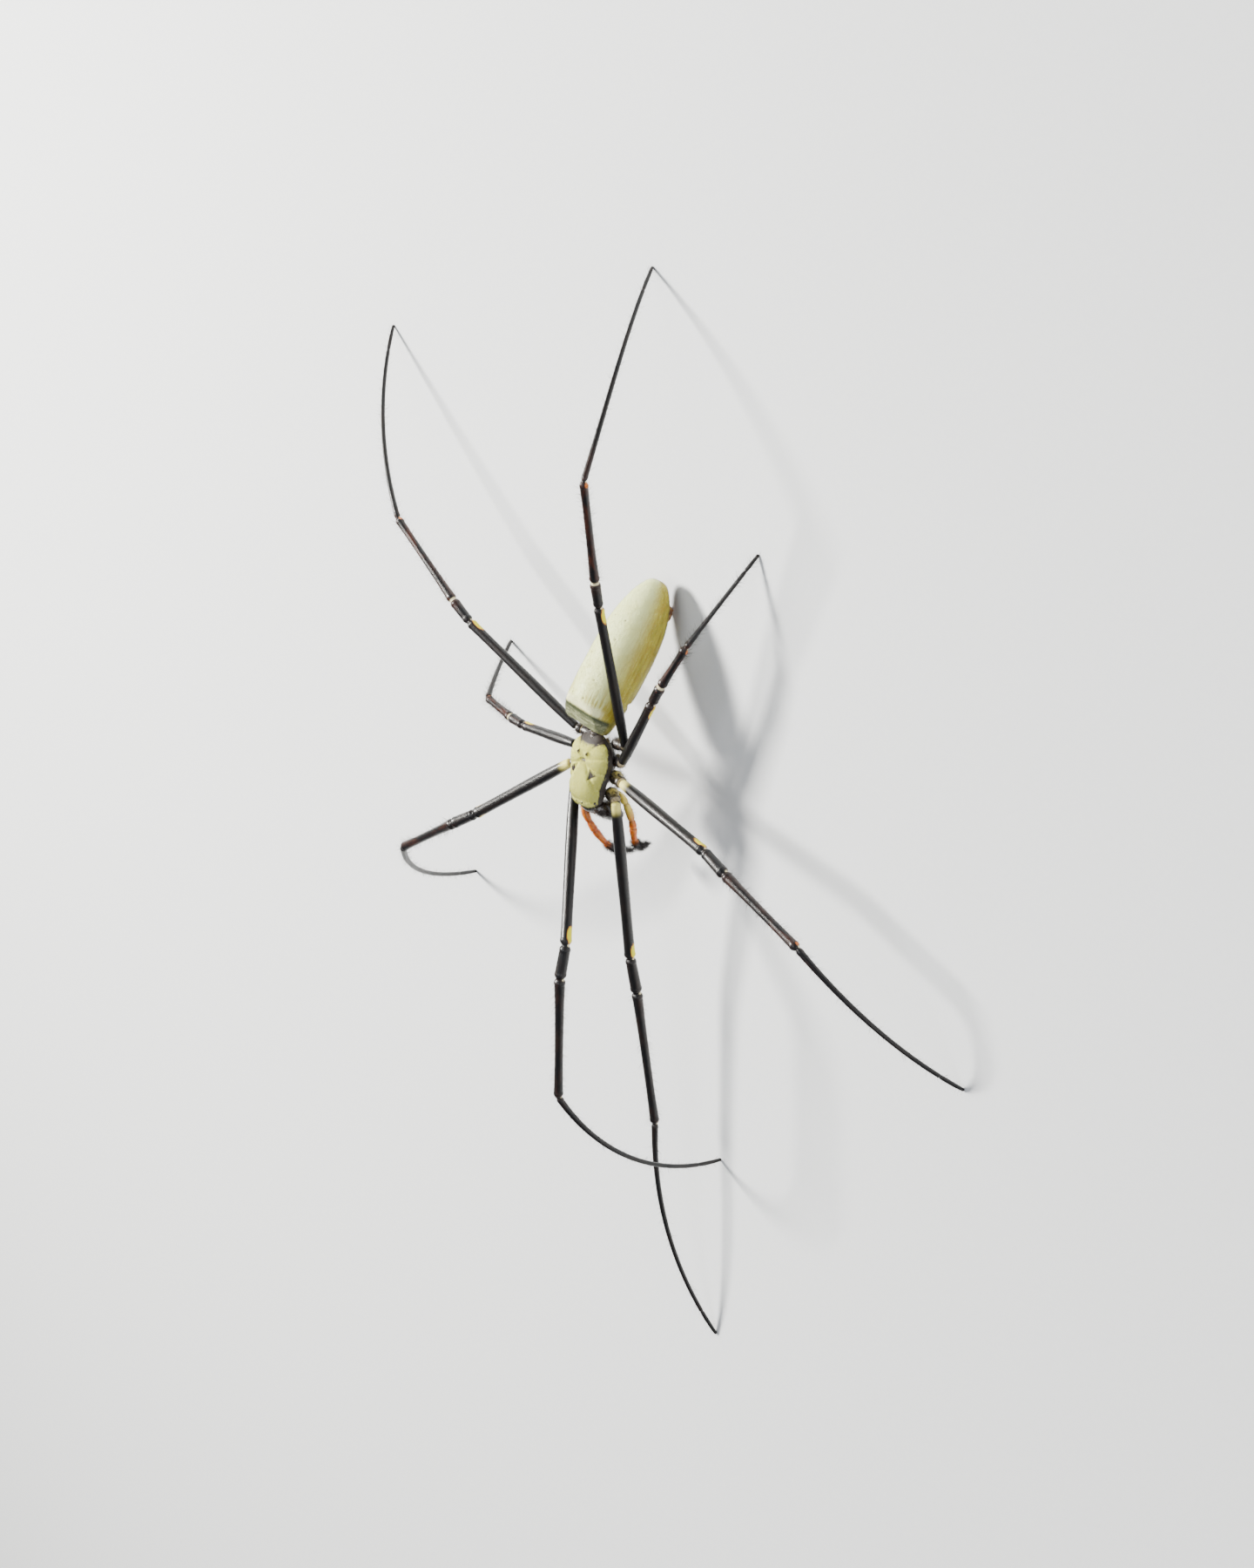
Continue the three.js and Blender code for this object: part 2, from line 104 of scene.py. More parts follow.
body = Place(
    turned("Z", body_turn) @ turned("X", -body_pitch) @ turned("Y", body_lean),
    (0, 0, body_height),
)
rear = Place(turned("Z", abdomen_around - 180) @ turned("X", abdomen_up), abdomen_front)

# %% [markdown]
# The camera comes first, so that every render shows the same frame. It looks at the animal
# from above its left side, a little from behind, and the picture is turned so that the head
# hangs down. The lens follows from the distance and from how many picture elements one
# millimetre of the body takes.

# %% Camera, floor and lights
picture_height = 1800
picture_middle = (720, 900)
pixels_per_mm = 7.5
body_pixel = (681.5, 876.5)
camera_distance = 550
camera_tilt = 57
camera_swing = 12
camera_roll = -11.5


def camera_axes(tilt, swing, roll):
    """Rows: the picture's right, its up, and the way back to the camera. Tilt leans the camera
    from straight above toward the animal's left, swing moves it toward the rear."""
    tilt, swing, roll = np.radians((tilt, swing, roll))
    back = np.array([
        np.sin(tilt) * np.cos(swing),
        np.sin(swing),
        np.cos(tilt) * np.cos(swing),
    ])
    up = np.array([0, 1, 0]) - back * back[1]
    up /= np.linalg.norm(up)
    right = np.cross(up, back)
    return np.array([
        right * np.cos(roll) + up * np.sin(roll),
        up * np.cos(roll) - right * np.sin(roll),
        back,
    ])


axes = camera_axes(camera_tilt, camera_swing, camera_roll)
aside = (body_pixel[0] - picture_middle[0]) / pixels_per_mm
above = (body_pixel[1] - picture_middle[1]) / pixels_per_mm
target = np.array([0, 0, body_height]) - aside * axes[0] + above * axes[1]
eye = (target + axes[2] * camera_distance + shift) * MM
camera_data = bpy.data.cameras.new("camera")
camera_data.sensor_width = 36
camera_data.lens = camera_data.sensor_width * camera_distance * pixels_per_mm / picture_height
camera_data.clip_start = 0.01
camera = bpy.data.objects.new("camera", camera_data)
bpy.context.collection.objects.link(camera)
camera.matrix_world = Matrix.LocRotScale(eye, Matrix(axes.T.tolist()), None)
bpy.context.scene.camera = camera
print("lens (mm):", round(camera_data.lens, 1), "camera height (m):", round(eye[2], 3))


def add_light(name, toward, distance, width, power, colour=(1, 1, 1)):
    """A square soft light, that far from the body in that direction and facing it."""
    data = bpy.data.lights.new(name, "AREA")
    data.size = width
    data.energy = power
    data.color = colour
    light = bpy.data.objects.new(name, data)
    bpy.context.collection.objects.link(light)
    way = Vector(toward).normalized()
    middle = Vector((0, 0, body_height)) * MM
    facing = way.to_track_quat("Z", "Y")
    light.matrix_world = Matrix.LocRotScale(middle + way * distance, facing, None)


add_light("key", (-0.55, 0.5, 0.7), 0.7, 0.14, 21, (1, 0.98, 0.92))
add_light("sky", (0.3, 0.2, 1), 0.9, 0.6, 5, (0.93, 0.96, 1))
add_light("fill", (1, -0.3, 0.4), 0.9, 0.4, 2)

world = bpy.data.worlds.new("studio")
world.use_nodes = True
background = world.node_tree.nodes["Background"]
background.inputs["Color"].default_value = (0.86, 0.9, 0.95, 1)
background.inputs["Strength"].default_value = 0.24
bpy.context.scene.world = world

# %% [markdown]
# A finish is a small graph of nodes. Writing `1 - mask * 0.5` is easier to read than wiring
# Math nodes one by one, so one class wraps a socket and gives it the usual operators. Colours
# never go through Math nodes, which would turn them grey: they are mixed.

# %% A socket that can be used in an expression


class Wire:
    """One value on its way through a finish, with the operators of a number."""

    def __init__(self, look, socket):
        self.look = look
        self.socket = socket

    def __add__(self, other):
        return self.look.math("ADD", self, other)

    def __radd__(self, other):
        return self.look.math("ADD", other, self)

    def __sub__(self, other):
        return self.look.math("SUBTRACT", self, other)

    def __rsub__(self, other):
        return self.look.math("SUBTRACT", other, self)

    def __mul__(self, other):
        return self.look.math("MULTIPLY", self, other)

    def __rmul__(self, other):
        return self.look.math("MULTIPLY", other, self)

    def clamped(self):
        """The value held between 0 and 1."""
        return self.look.node("ShaderNodeClamp", {}, {"Value": self})

    def between(self, low, high):
        """0 below low, 1 above high, and a soft step from one to the other."""
        settings = {"interpolation_type": "SMOOTHSTEP"}
        return self.look.node("ShaderNodeMapRange", settings, {
            "Value": self, "From Min": low, "From Max": high,
        })


class Look:
    """A finish: a material with a Principled shader, and the nodes that feed it."""

    def __init__(self, name, constants):
        self.material = bpy.data.materials.new(name)
        self.material.use_nodes = True
        self.tree = self.material.node_tree
        self.shader = self.tree.nodes["Principled BSDF"]
        for socket, value in constants.items():
            self.shader.inputs[socket].default_value = value

    def connect(self, value, socket):
        """Links a wire to a socket, or sets a plain number, colour or vector on it."""
        if isinstance(value, Wire):
            self.tree.links.new(value.socket, socket)
        elif socket.type == "RGBA" and len(value) == 3:
            socket.default_value = (*value, 1)
        else:
            socket.default_value = value

    def node(self, kind, settings, inputs, output=0):
        """Adds any node: settings are its own properties, inputs its sockets by name or number."""
        made = self.tree.nodes.new(kind)
        for name, value in settings.items():
            setattr(made, name, value)
        for key, value in inputs.items():
            self.connect(value, made.inputs[key])
        return Wire(self, made.outputs[output])

    def math(self, operation, first, second):
        return self.node("ShaderNodeMath", {"operation": operation}, {0: first, 1: second})

    def mix(self, factor, first, second):
        """A colour that goes from the first to the second as the factor goes from 0 to 1."""
        settings = {"data_type": "RGBA", "clamp_factor": True}
        return self.node("ShaderNodeMix", settings, {0: factor, 6: first, 7: second}, 2)

    def painted(self, colour, *coats):
        """The colour under coats of others, each given with the factor that it covers by."""
        for factor, over in coats:
            colour = self.mix(factor, colour, over)
        return colour

    def number(self, name):
        """A number that the piece carries on each of its points."""
        return self.node("ShaderNodeAttribute", {"attribute_name": name}, {}, "Fac")

    def vector(self, name):
        """A vector that the piece carries on each of its points."""
        return self.node("ShaderNodeAttribute", {"attribute_name": name}, {}, "Vector")

    def here(self):
        """The place on a piece, in metres of the frame."""
        return self.node("ShaderNodeTexCoord", {}, {}, "Object")

    def part(self, vector, axis):
        """One of the three numbers of a vector."""
        return self.node("ShaderNodeSeparateXYZ", {}, {"Vector": vector}, axis)

    def stretched(self, vector, scale):
        """The vector with each number multiplied by its own factor."""
        return self.node("ShaderNodeVectorMath", {"operation": "MULTIPLY"}, {0: vector, 1: scale})

    def noise(self, vector, scale, detail=3, rough=0.5):
        inputs = {"Vector": vector, "Scale": scale, "Detail": detail, "Roughness": rough}
        return self.node("ShaderNodeTexNoise", {}, inputs)

    def cells(self, vector, scale):
        """Distance to the nearest of many scattered points."""
        return self.node("ShaderNodeTexVoronoi", {}, {"Vector": vector, "Scale": scale})

    def feed(self, **wires):
        """Sets the shader's sockets; an underscore in a name stands for a space."""
        for name, value in wires.items():
            self.connect(value, self.shader.inputs[name.replace("_", " ")])

    def bump(self, height, depth):
        """Bumps of that depth in metres."""
        bumped = self.node("ShaderNodeBump", {}, {"Height": height, "Distance": depth, "Strength": 1})
        self.feed(Normal=bumped)


# %% [markdown]
# The floor is a plain pale card, one square far wider than the picture, so that no edge of it
# shows. It isn't part of the animal, so it is marked as stage.

# %% Floor
card = Look("pale_card", {"Roughness": 0.85})
card_place = card.here()
card_grain = card.noise(card_place, 900)
card.feed(Base_Color=card.mix(card_grain, (0.66, 0.67, 0.68), (0.7, 0.71, 0.72)))
floor_mesh = bpy.data.meshes.new("floor")
half_floor = 3
floor_mesh.from_pydata(
    [(-half_floor, -half_floor, 0), (half_floor, -half_floor, 0),
     (half_floor, half_floor, 0), (-half_floor, half_floor, 0)],
    [], [(0, 1, 2, 3)],
)
floor_mesh.materials.append(card.material)
floor = bpy.data.objects.new("floor", floor_mesh)
bpy.context.collection.objects.link(floor)
floor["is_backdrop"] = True

# %% [markdown]
# Every piece below is a skin of rings: an array of points with one row for each ring and one
# column for each step around it, closed by a point at either end. Numpy works out all the
# points at once, and one function turns any such array into a mesh whose faces point out.

# %% From arrays to pieces


def along(values, t):
    """A smooth curve through evenly spaced numbers, read at t from 0 to 1: between two of them
    it is the cubic whose slopes are half the difference of the neighbours on either side."""
    values = np.asarray(values, float)
    place = np.clip(t, 0, 1) * (len(values) - 1)
    i = np.minimum(place.astype(int), len(values) - 2)
    f = place - i
    a, b = values[i], values[i + 1]
    slope_a = (b - values[np.maximum(i - 1, 0)]) / 2
    slope_b = (values[np.minimum(i + 2, len(values) - 1)] - a) / 2
    bent = 3 * (b - a) - 2 * slope_a - slope_b
    twisted = 2 * (a - b) + slope_a + slope_b
    return a + f * (slope_a + f * (bent + f * twisted))


def soft_min(a, b, soft):
    """The smaller of two arrays, with a soft change: half of a + b - sqrt((a - b)^2 + soft^2)."""
    return (a + b - np.hypot(a - b, soft)) / 2


def bell(distance, width):
    """A soft hill: 1 in the middle, fading with the square of distance over width."""
    return np.exp(-((distance / width) ** 2))


def ramp(distance, width):
    """An even step: 0 before the start, 1 from the width on."""
    return np.clip(distance / width, 0, 1)


def unit(vectors):
    """The vectors made one long."""
    return vectors / (np.linalg.norm(vectors, axis=-1, keepdims=True) + 1e-9)


def turns(around):
    """Even angles round a ring."""
    return 2 * np.pi * np.arange(around) / around


def rings_round(line, side, upper, radius, around):
    """Circles round a line: at each of its points, radius * (side * sin(v) + upper * cos(v))."""
    v = turns(around)[None, :, None]
    circle = side[:, None] * np.sin(v) + upper[:, None] * np.cos(v)
    return line[:, None] + circle * radius[:, None, None]


def round_ends(t, first, last, open_by=0.0001):
    """1 along a piece, falling to 0 as a quarter circle over its first and its last share. What
    an end stays open by is closed by its end point."""
    start = ramp(first - t, first + open_by)
    end = ramp(t - 1 + last, last + open_by)
    return np.sqrt(1 - start**2) * np.sqrt(1 - end**2)


def read_along(values, at, s):
    """The rows of an array that are given at some distances, read at other distances s."""
    return np.stack([np.interp(s, at, values[:, k]) for k in range(3)], -1)


def ring_faces(rings, around):
    """Triangles of a skin of rings whose first and last points close its two ends."""
    index = 1 + np.arange(rings * around).reshape(rings, around)
    beside = np.roll(index, -1, axis=1)
    a, b, c, d = index[:-1], beside[:-1], index[1:], beside[1:]
    walls = np.concatenate([np.stack([a, b, d], -1), np.stack([a, d, c], -1)]).reshape(-1, 3)
    last = rings * around + 1
    first_cap = np.stack([np.zeros(around, int), beside[0], index[0]], -1)
    last_cap = np.stack([np.full(around, last), index[-1], beside[-1]], -1)
    return np.concatenate([walls, first_cap, last_cap])


def closed(rings):
    """Points and triangles of a skin: the end points are the middles of the end rings."""
    count, around = rings.shape[:2]
    points = np.concatenate([
        rings[0].mean(0)[None], rings.reshape(-1, 3), rings[-1].mean(0)[None],
    ])
    return points, outward(points, ring_faces(count, around))


def outward(points, faces):
    """The faces, turned over if the volume they enclose comes out negative."""
    a, b, c = points[faces[:, 0]], points[faces[:, 1]], points[faces[:, 2]]
    volume = np.einsum("ij,ij->", a, np.cross(b, c))
    return faces if volume > 0 else faces[:, ::-1]


def per_point(values):
    """Numbers given for each point of the rings, with the two end points added."""
    flat = values.reshape(-1, *values.shape[2:])
    return np.concatenate([flat[:1], flat, flat[-1:]])


def make_piece(name, points, faces, look, nodes=(), marks=None):
    """A mesh from points in millimetres and triangles. Marks are numbers or vectors that each
    point carries for the finish to read. The piece rides on the one rigid body."""
    mesh = bpy.data.meshes.new(name)
    mesh.vertices.add(len(points))
    mesh.vertices.foreach_set("co", ((points + shift) * MM).astype(np.float32).ravel())
    mesh.loops.add(faces.size)
    mesh.loops.foreach_set("vertex_index", faces.astype(np.int32).ravel())
    mesh.polygons.add(len(faces))
    mesh.polygons.foreach_set("loop_start", np.arange(0, faces.size, 3, dtype=np.int32))
    mesh.update(calc_edges=True)
    mesh.polygons.foreach_set("use_smooth", np.ones(len(faces), bool))
    for mark, values in (marks or {}).items():
        kind, key = ("FLOAT_VECTOR", "vector") if values.ndim == 2 else ("FLOAT", "value")
        layer = mesh.attributes.new(mark, kind, "POINT")
        layer.data.foreach_set(key, values.astype(np.float32).ravel())
    mesh.materials.append(look.material)
    piece = bpy.data.objects.new(name, mesh)
    bpy.context.collection.objects.link(piece)
    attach(piece, "root")
    if nodes:
        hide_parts(*nodes)
    print(f"{name}: {len(faces)} triangles")
    return piece


def make_skin(name, rings, look, nodes=(), marks=None):
    """A piece from a skin of rings, with marks given ring by ring."""
    points, faces = closed(rings)
    full = {mark: per_point(values) for mark, values in (marks or {}).items()}
    return make_piece(name, points, faces, look, nodes, full)


# %% [markdown]
# The trunk's parts are all one kind of form, a stack of rings whose half width, top and
# underside each follow a few numbers from front to back. The ends close like superellipses,
# so a high power gives the square shoulder of the abdomen and a low one a round end.

# %% The form of the trunk's parts


def stations(count):
    """Even steps of a half circle seen from the side: close together near both ends."""
    return 0.5 - 0.5 * np.cos(np.pi * (np.arange(count) + 0.5) / count)


def ring_body(length, width, top, bottom, ends, square, rings, around):
    """Rings at t from 0 to 1: y = length * (t - 1/2), x = width(t) * close(t) * sin(v) and
    z = top or bottom(t) * close(t) * cos(v), where close(t) = (1 - |2t-1|^p)^(1/p) and the
    outline of each ring is squared a little by a superellipse."""
    t = stations(rings)[:, None]
    v = turns(around)[None]
    from_middle = 2 * t - 1
    power = np.where(from_middle < 0, ends[0], ends[1])
    close = (1 - np.abs(from_middle) ** power) ** (1 / power)
    edge = (np.abs(np.sin(v)) ** square + np.abs(np.cos(v)) ** square) ** (-1 / square)
    x = along(width, t) * close * np.sin(v) * edge
    high = np.where(np.cos(v) > 0, along(top, t), along(bottom, t))
    z = high * close * np.cos(v) * edge
    y = np.broadcast_to(length / 2 * from_middle, x.shape)
    t = np.broadcast_to(t, x.shape)
    v = np.broadcast_to(v, x.shape)
    return np.stack([x, y, z], -1), t, v


def ring_normals(rings):
    """Unit normals of a skin, from the differences between neighbouring rings and columns."""
    lengthwise = np.gradient(rings, axis=0)
    around = np.roll(rings, -1, axis=1) - np.roll(rings, 1, axis=1)
    normal = unit(np.cross(around, lengthwise))
    outside = rings - rings.mean(axis=1, keepdims=True)
    return normal * np.sign(np.sum(normal * outside))


# %% [markdown]
# Hair and bristles are solid: each is a thin three-sided spike that leaves the skin at a
# slant, bends over and ends in a point. Thousands of them are one array, and each keeps the
# place of its root on the skin's unwrap, so that a baked colour stays with the right hair.

# %% Hair from arrays
hair_above_floor = 0.02
hair_patch = 0.003


def scatter(rings, count, weight, seed):
    """Random places on a skin. A cell of the grid is drawn in proportion to its area times the
    weight there, and the place inside it is a mix of its four corners."""
    draw = np.random.default_rng(seed)
    beside = np.roll(rings, -1, axis=1)
    across = beside[:-1] - rings[:-1]
    down = rings[1:] - rings[:-1]
    area = np.linalg.norm(np.cross(across, down), axis=-1) * weight[:-1]
    chance = np.cumsum(area.ravel())
    cell = np.searchsorted(chance, draw.random(count) * chance[-1])
    row, column = np.unravel_index(np.minimum(cell, area.size - 1), area.shape)
    return {"row": row, "column": column, "f": draw.random((2, count)), "draw": draw}


def at_places(values, places):
    """Values of the grid, mixed at the scattered places."""
    row, column = places["row"], places["column"]
    after = (column + 1) % values.shape[1]
    f, g = places["f"]
    if values.ndim == 3:
        f, g = f[:, None], g[:, None]
    upper = values[row, column] * (1 - g) + values[row, after] * g
    lower = values[row + 1, column] * (1 - g) + values[row + 1, after] * g
    return upper * (1 - f) + lower * f


def spikes(roots, rise, lie, length, radius, bend, sink, steps):
    """Points and triangles of three-sided spikes. A spike's middle line at s from 0 to 1 is
    root + length * (s * rise + bend * s^2 * lie), begun a little inside the skin, and its
    thickness falls from the radius at the root to nothing at the tip."""
    count = len(roots)
    taper = 0.55
    s = np.arange(steps) / steps
    middle = roots[:, None] - rise[:, None] * sink + length[:, None, None] * (
        s[None, :, None] * rise[:, None] + bend * s[None, :, None] ** 2 * lie[:, None]
    )
    tip = roots + length[:, None] * (rise + bend * lie)
    side = unit(np.cross(rise, lie) + 1e-6)
    front = unit(np.cross(side, rise))
    turn = turns(3)[None, :, None]
    corner = side[:, None] * np.cos(turn) + front[:, None] * np.sin(turn)
    thick = radius[:, None, None, None] * (1 - s * taper)[None, :, None, None]
    rings = middle[:, :, None] + corner[:, None] * thick
    points = np.concatenate([rings.reshape(count, steps * 3, 3), tip[:, None]], axis=1)
    faces = [(0, 2, 1)]
    for k in range(steps - 1):
        for j in range(3):
            a, b = 3 * k + j, 3 * k + (j + 1) % 3
            faces += [(a, b, b + 3), (a, b + 3, a + 3)]
    last = 3 * (steps - 1)
    faces += [(last + j, last + (j + 1) % 3, 3 * steps) for j in range(3)]
    faces = np.array(faces)
    size = steps * 3 + 1
    whole = faces[None] + size * np.arange(count)[:, None, None]
    return points.reshape(-1, 3), whole.reshape(-1, 3), size


def make_coat(name, rings, count, look, slot, seed, weight=None, lie=None, lift=0.5,
              length=(0.3, 0.5), radius=0.01, bend=0.5, spread=0.2, steps=2, marks=None):
    """A coat of hairs over a skin. Lift is how steeply a hair leaves the skin, lie the way it
    leans, and spread how far both stray. Hairs that would reach into the floor lie down on it.
    Marks are grids that each hair reads at its root."""
    weight = np.ones(rings.shape[:2]) if weight is None else weight
    places = scatter(rings, count, weight, seed)
    draw = places["draw"]
    roots = at_places(rings, places)
    normal = unit(at_places(ring_normals(rings), places))
    flow = np.gradient(rings, axis=0) if lie is None else lie
    flow = unit(at_places(flow, places))
    flow = unit(flow - normal * np.sum(flow * normal, -1, keepdims=True))
    stray = draw.normal(0, spread, roots.shape)
    flow = unit(flow + stray - normal * np.sum(stray * normal, -1, keepdims=True))
    up = lift * draw.uniform(0.6, 1.4, count)[:, None]
    rise = unit(normal * up + flow * (1 - np.minimum(up, 0.95)))
    size = draw.uniform(*length, count)
    thick = radius * draw.uniform(0.75, 1.25, count)
    points, faces, corners = spikes(roots, rise, flow, size, thick, bend, radius * 1.5, steps)
    points[:, 2] = np.maximum(points[:, 2], hair_above_floor)
    shade = {"shade": np.repeat(draw.random(count), corners)}
    for mark, values in (marks or {}).items():
        shade[mark] = np.repeat(at_places(values, places), corners, axis=0)
    piece = make_piece(name, points, faces, look, marks=shade)
    rows, columns = rings.shape[:2]
    u = (places["row"] + places["f"][0]) / rows
    v = (places["column"] + places["f"][1]) / columns
    root_uv = np.stack([u, v], -1) * (1 - hair_patch)
    spot = hair_patch * np.array([[0, 0], [1, 0], [0, 1]])
    per_face = len(faces) // count
    uv = np.repeat(root_uv, per_face * 3, axis=0) + np.tile(spot, (len(faces), 1))
    layer = piece.data.uv_layers.new(name="OFBake")
    layer.data.foreach_set("uv", uv.astype(np.float32).ravel())
    return piece


# %% [markdown]
# The abdomen is the largest part: a long soft barrel with a square shoulder over the waist and
# two rows of small dark pits along the back, where muscles pull the skin in. Bumps in the
# finish could fake the pits, but they would be missing from the outline and under raking
# light, so pits, furrow and folds are moved in the surface itself.

# %% The abdomen's surface
abdomen_length = 24.6
abdomen_half_width = 4.65
abdomen_half_height = 4.8
slope_height = 1.3
slope_rise = 1.05
slope_soft = 0.5
pit_rows = [(0.16, 1.35), (0.29, 1.6), (0.43, 1.7), (0.57, 1.55), (0.7, 1.3)]
pit_radius = 0.17
furrow_place = 5.6


def abdomen_surface(rings=300, around=240):
    """The barrel, its front cut by a slope over the waist, with pits in rows along the back, a
    furrow under the front and shallow folds along the flanks. The pits and the level of each
    point, its height as a share of its ring's, are given with it."""
    points, _, v = ring_body(
        abdomen_length,
        np.array([0.96, 0.98, 1, 1, 0.98, 0.9, 0.76, 0.58]) * abdomen_half_width,
        np.array([0.94, 1, 1, 0.98, 0.94, 0.86, 0.74, 0.6]) * abdomen_half_height,
        np.array([0.55, 0.78, 0.94, 1, 1, 0.96, 0.84, 0.6]) * abdomen_half_height,
        (16, 3.4), 2.1, rings, around,
    )
    points[..., 1] += abdomen_length / 2
    limit = slope_height + slope_rise * points[..., 1]
    upper = points[..., 2] > 0
    points[..., 2] = np.where(upper, soft_min(points[..., 2], limit, slope_soft), points[..., 2])
    normal = ring_normals(points)
    x, y, z = np.moveaxis(points, -1, 0)
    pits = np.zeros_like(x)
    for place, apart in pit_rows:
        for side in (-1, 1):
            away = np.hypot(x - side * apart, y - place * abdomen_length)
            pits = np.maximum(pits, bell(away, pit_radius) * (z > 0))
    furrow = bell(y - furrow_place, 0.35) * (z < -1.5)
    folds = np.sin(y * 2.6 + 2 * np.sin(v * 3)) * np.sin(v * 22 + y * 0.6)
    flank = np.clip(1 - np.abs(np.cos(v)) * 1.3, 0, 1)
    push = -0.1 * pits - 0.28 * furrow + 0.018 * folds * flank
    reach = np.where(z > 0, z.max(axis=1, keepdims=True), -z.min(axis=1, keepdims=True))
    return points + normal * push[..., None], pits, z / reach


abdomen_local, abdomen_pits, abdomen_level = abdomen_surface()
abdomen_rings = rear.points(abdomen_local)

# %% [markdown]
# The skin's own colours are cream on the back, olive and golden streaks down the flanks, a grey-green
# front under a pale edge, and a dark belly with yellow marks. Painted light is laid in with them: the
# olive of the flanks is the skin's colour made darker as painted shade, the pale edge carries a
# painted highlight, and the low front over the waist is painted nearly black as shade. They could be
# a picture wrapped round the barrel. Noise stretched along the body gives the same streaks with no
# seam, and because it needs only a place, the hair can read the same colours.

# %% The abdomen's colours


def abdomen_colours(look):
    """Cream on the back, olive and gold on the flanks, grey-green in front and dark below; the flanks
    are darkened further as painted shade, the pale edge holds a painted highlight and the low front a
    painted shade. Both skin and hair read them from the place in the abdomen's own frame, and from
    the level: 1 along the middle of the back, 0 along the side and -1 along the middle of the belly."""
    place = look.vector("place")
    back = look.part(place, 1)
    height = look.part(place, 2)
    level = look.number("level")
    streaks = look.noise(look.stretched(place, (1.7, 0.14, 1.7)), 1, 4, 0.6)
    fine_streaks = look.noise(look.stretched(place, (3, 0.26, 3)), 1, 5, 0.6)
    cloud = look.noise(place, 0.35, 2)
    speckle = look.cells(place, 2.6)
    flank_gold = (1 - level.between(0, 0.88)) * fine_streaks.between(0.42, 0.6)
    flank_olive = (1 - level.between(-0.3, 0.7)) * streaks.between(0.46, 0.64)
    near_front = (1 - back.between(3, 8)) * fine_streaks.between(0.42, 0.56)
    belly_marks = look.cells(look.stretched(place, (0.8, 0.3, 0.8)), 1.1).between(0.25, 0.4)
    belly_colour = look.mix(belly_marks, (0.5, 0.4, 0.06), (0.06, 0.04, 0.015))
    patches = look.cells(place, 0.55)
    patch_colour = look.painted(
        (0.6, 0.42, 0.02),
        (patches.between(0.35, 0.6), (0.1, 0.15, 0.02)),
        (1 - patches.between(0.14, 0.26), (0.5, 0.15, 0.01)),
    )
    front_low = (1 - back.between(2.5, 5)) * (1 - height.between(-1.6, -0.2))
    upper = height.between(-2.5, 2)
    face = 1 - back.between(1.9, 2.5)
    face_grain = look.noise(look.stretched(place, (0.7, 2.5, 2.5)), 1, 4, 0.6)
    face_colour = look.painted(
        (0.12, 0.13, 0.06),
        (face_grain.between(0.42, 0.66), (0.3, 0.31, 0.18)),
        (back.between(1.1, 1.9), (0.04, 0.05, 0.02)),
    )
    # The low front over the waist is painted nearly black: painted shade where the abdomen meets the
    # shield.
    painted_front_shade = (1 - back.between(0.2, 1.2)) * (1 - upper.between(0.2, 0.8))
    # The pale line on the shoulder edge is the skin's pale band with a painted highlight along the
    # edge.
    pale_edge_and_highlight = back.between(2, 2.6) * (1 - back.between(2.9, 3.9)) * height.between(1.5, 3)
    return look.painted(
        # The olive base shows on the flanks: the skin's own colour, darkened as painted shade where
        # the flanks turn away from the light, under the lighter cream back.
        (0.42, 0.36, 0.035),
        (level.between(0.1, 0.92), (0.79, 0.84, 0.4)),
        (cloud.between(0.4, 0.7) * 0.25, (0.6, 0.58, 0.1)),
        ((1 - speckle.between(0.1, 0.34)) * 0.25, (0.8, 0.84, 0.4)),
        (flank_gold * 0.6, (0.32, 0.19, 0.01)),
        (flank_olive * 0.6, (0.2, 0.18, 0.01)),
        (near_front * (1 - height.between(4.2, 4.8)) * 0.8, (0.4, 0.3, 0.02)),
        (1 - level.between(-0.8, -0.5), belly_colour),
        (front_low * 0.9, patch_colour),
        (face * upper.between(0.3, 0.8), face_colour),
        (painted_front_shade, (0.02, 0.016, 0.01)),
        (pale_edge_and_highlight * 0.95, (0.84, 0.84, 0.48)),
        (look.number("pits").between(0.3, 0.8) * 0.75, (0.14, 0.09, 0.02)),
    )


# %% [markdown]
# The skin is soft and a little waxy, with a weak, broken gleam. One even roughness would look
# like plastic, so cells and grain change the roughness and the thin coat from place to place,
# and the grain also bumps the skin.

# %% The abdomen's finish
skin = Look("abdomen_skin", {"Specular IOR Level": 0.4, "Coat Roughness": 0.35, "IOR": 1.42})
skin_place = skin.vector("place")
skin_cells = skin.cells(skin_place, 2.6)
skin_grain = skin.noise(skin.stretched(skin_place, (1.5, 4, 1.5)), 2.2, 5, 0.62)
skin.feed(
    Base_Color=abdomen_colours(skin),
    Roughness=0.36 + skin_cells * 0.25 + skin_grain * 0.1,
    Coat_Weight=0.1 + skin_grain * 0.1,
)
skin.bump(skin_grain * 0.7 + skin_cells * 0.3, 0.00012)
abdomen_marks = {"place": abdomen_local, "pits": abdomen_pits, "level": abdomen_level}
make_skin("abdomen_skin", abdomen_rings, skin, ["abdomen"], abdomen_marks)

# %% [markdown]
# The spinnerets stand in a brown ring under the rear of the abdomen: two large pairs with a
# small pair between them, each a blunt ridged cone. They could be one lump, but from below
# each one shows, so each is a closed skin and all of them are joined into one piece.

# %% Spinnerets


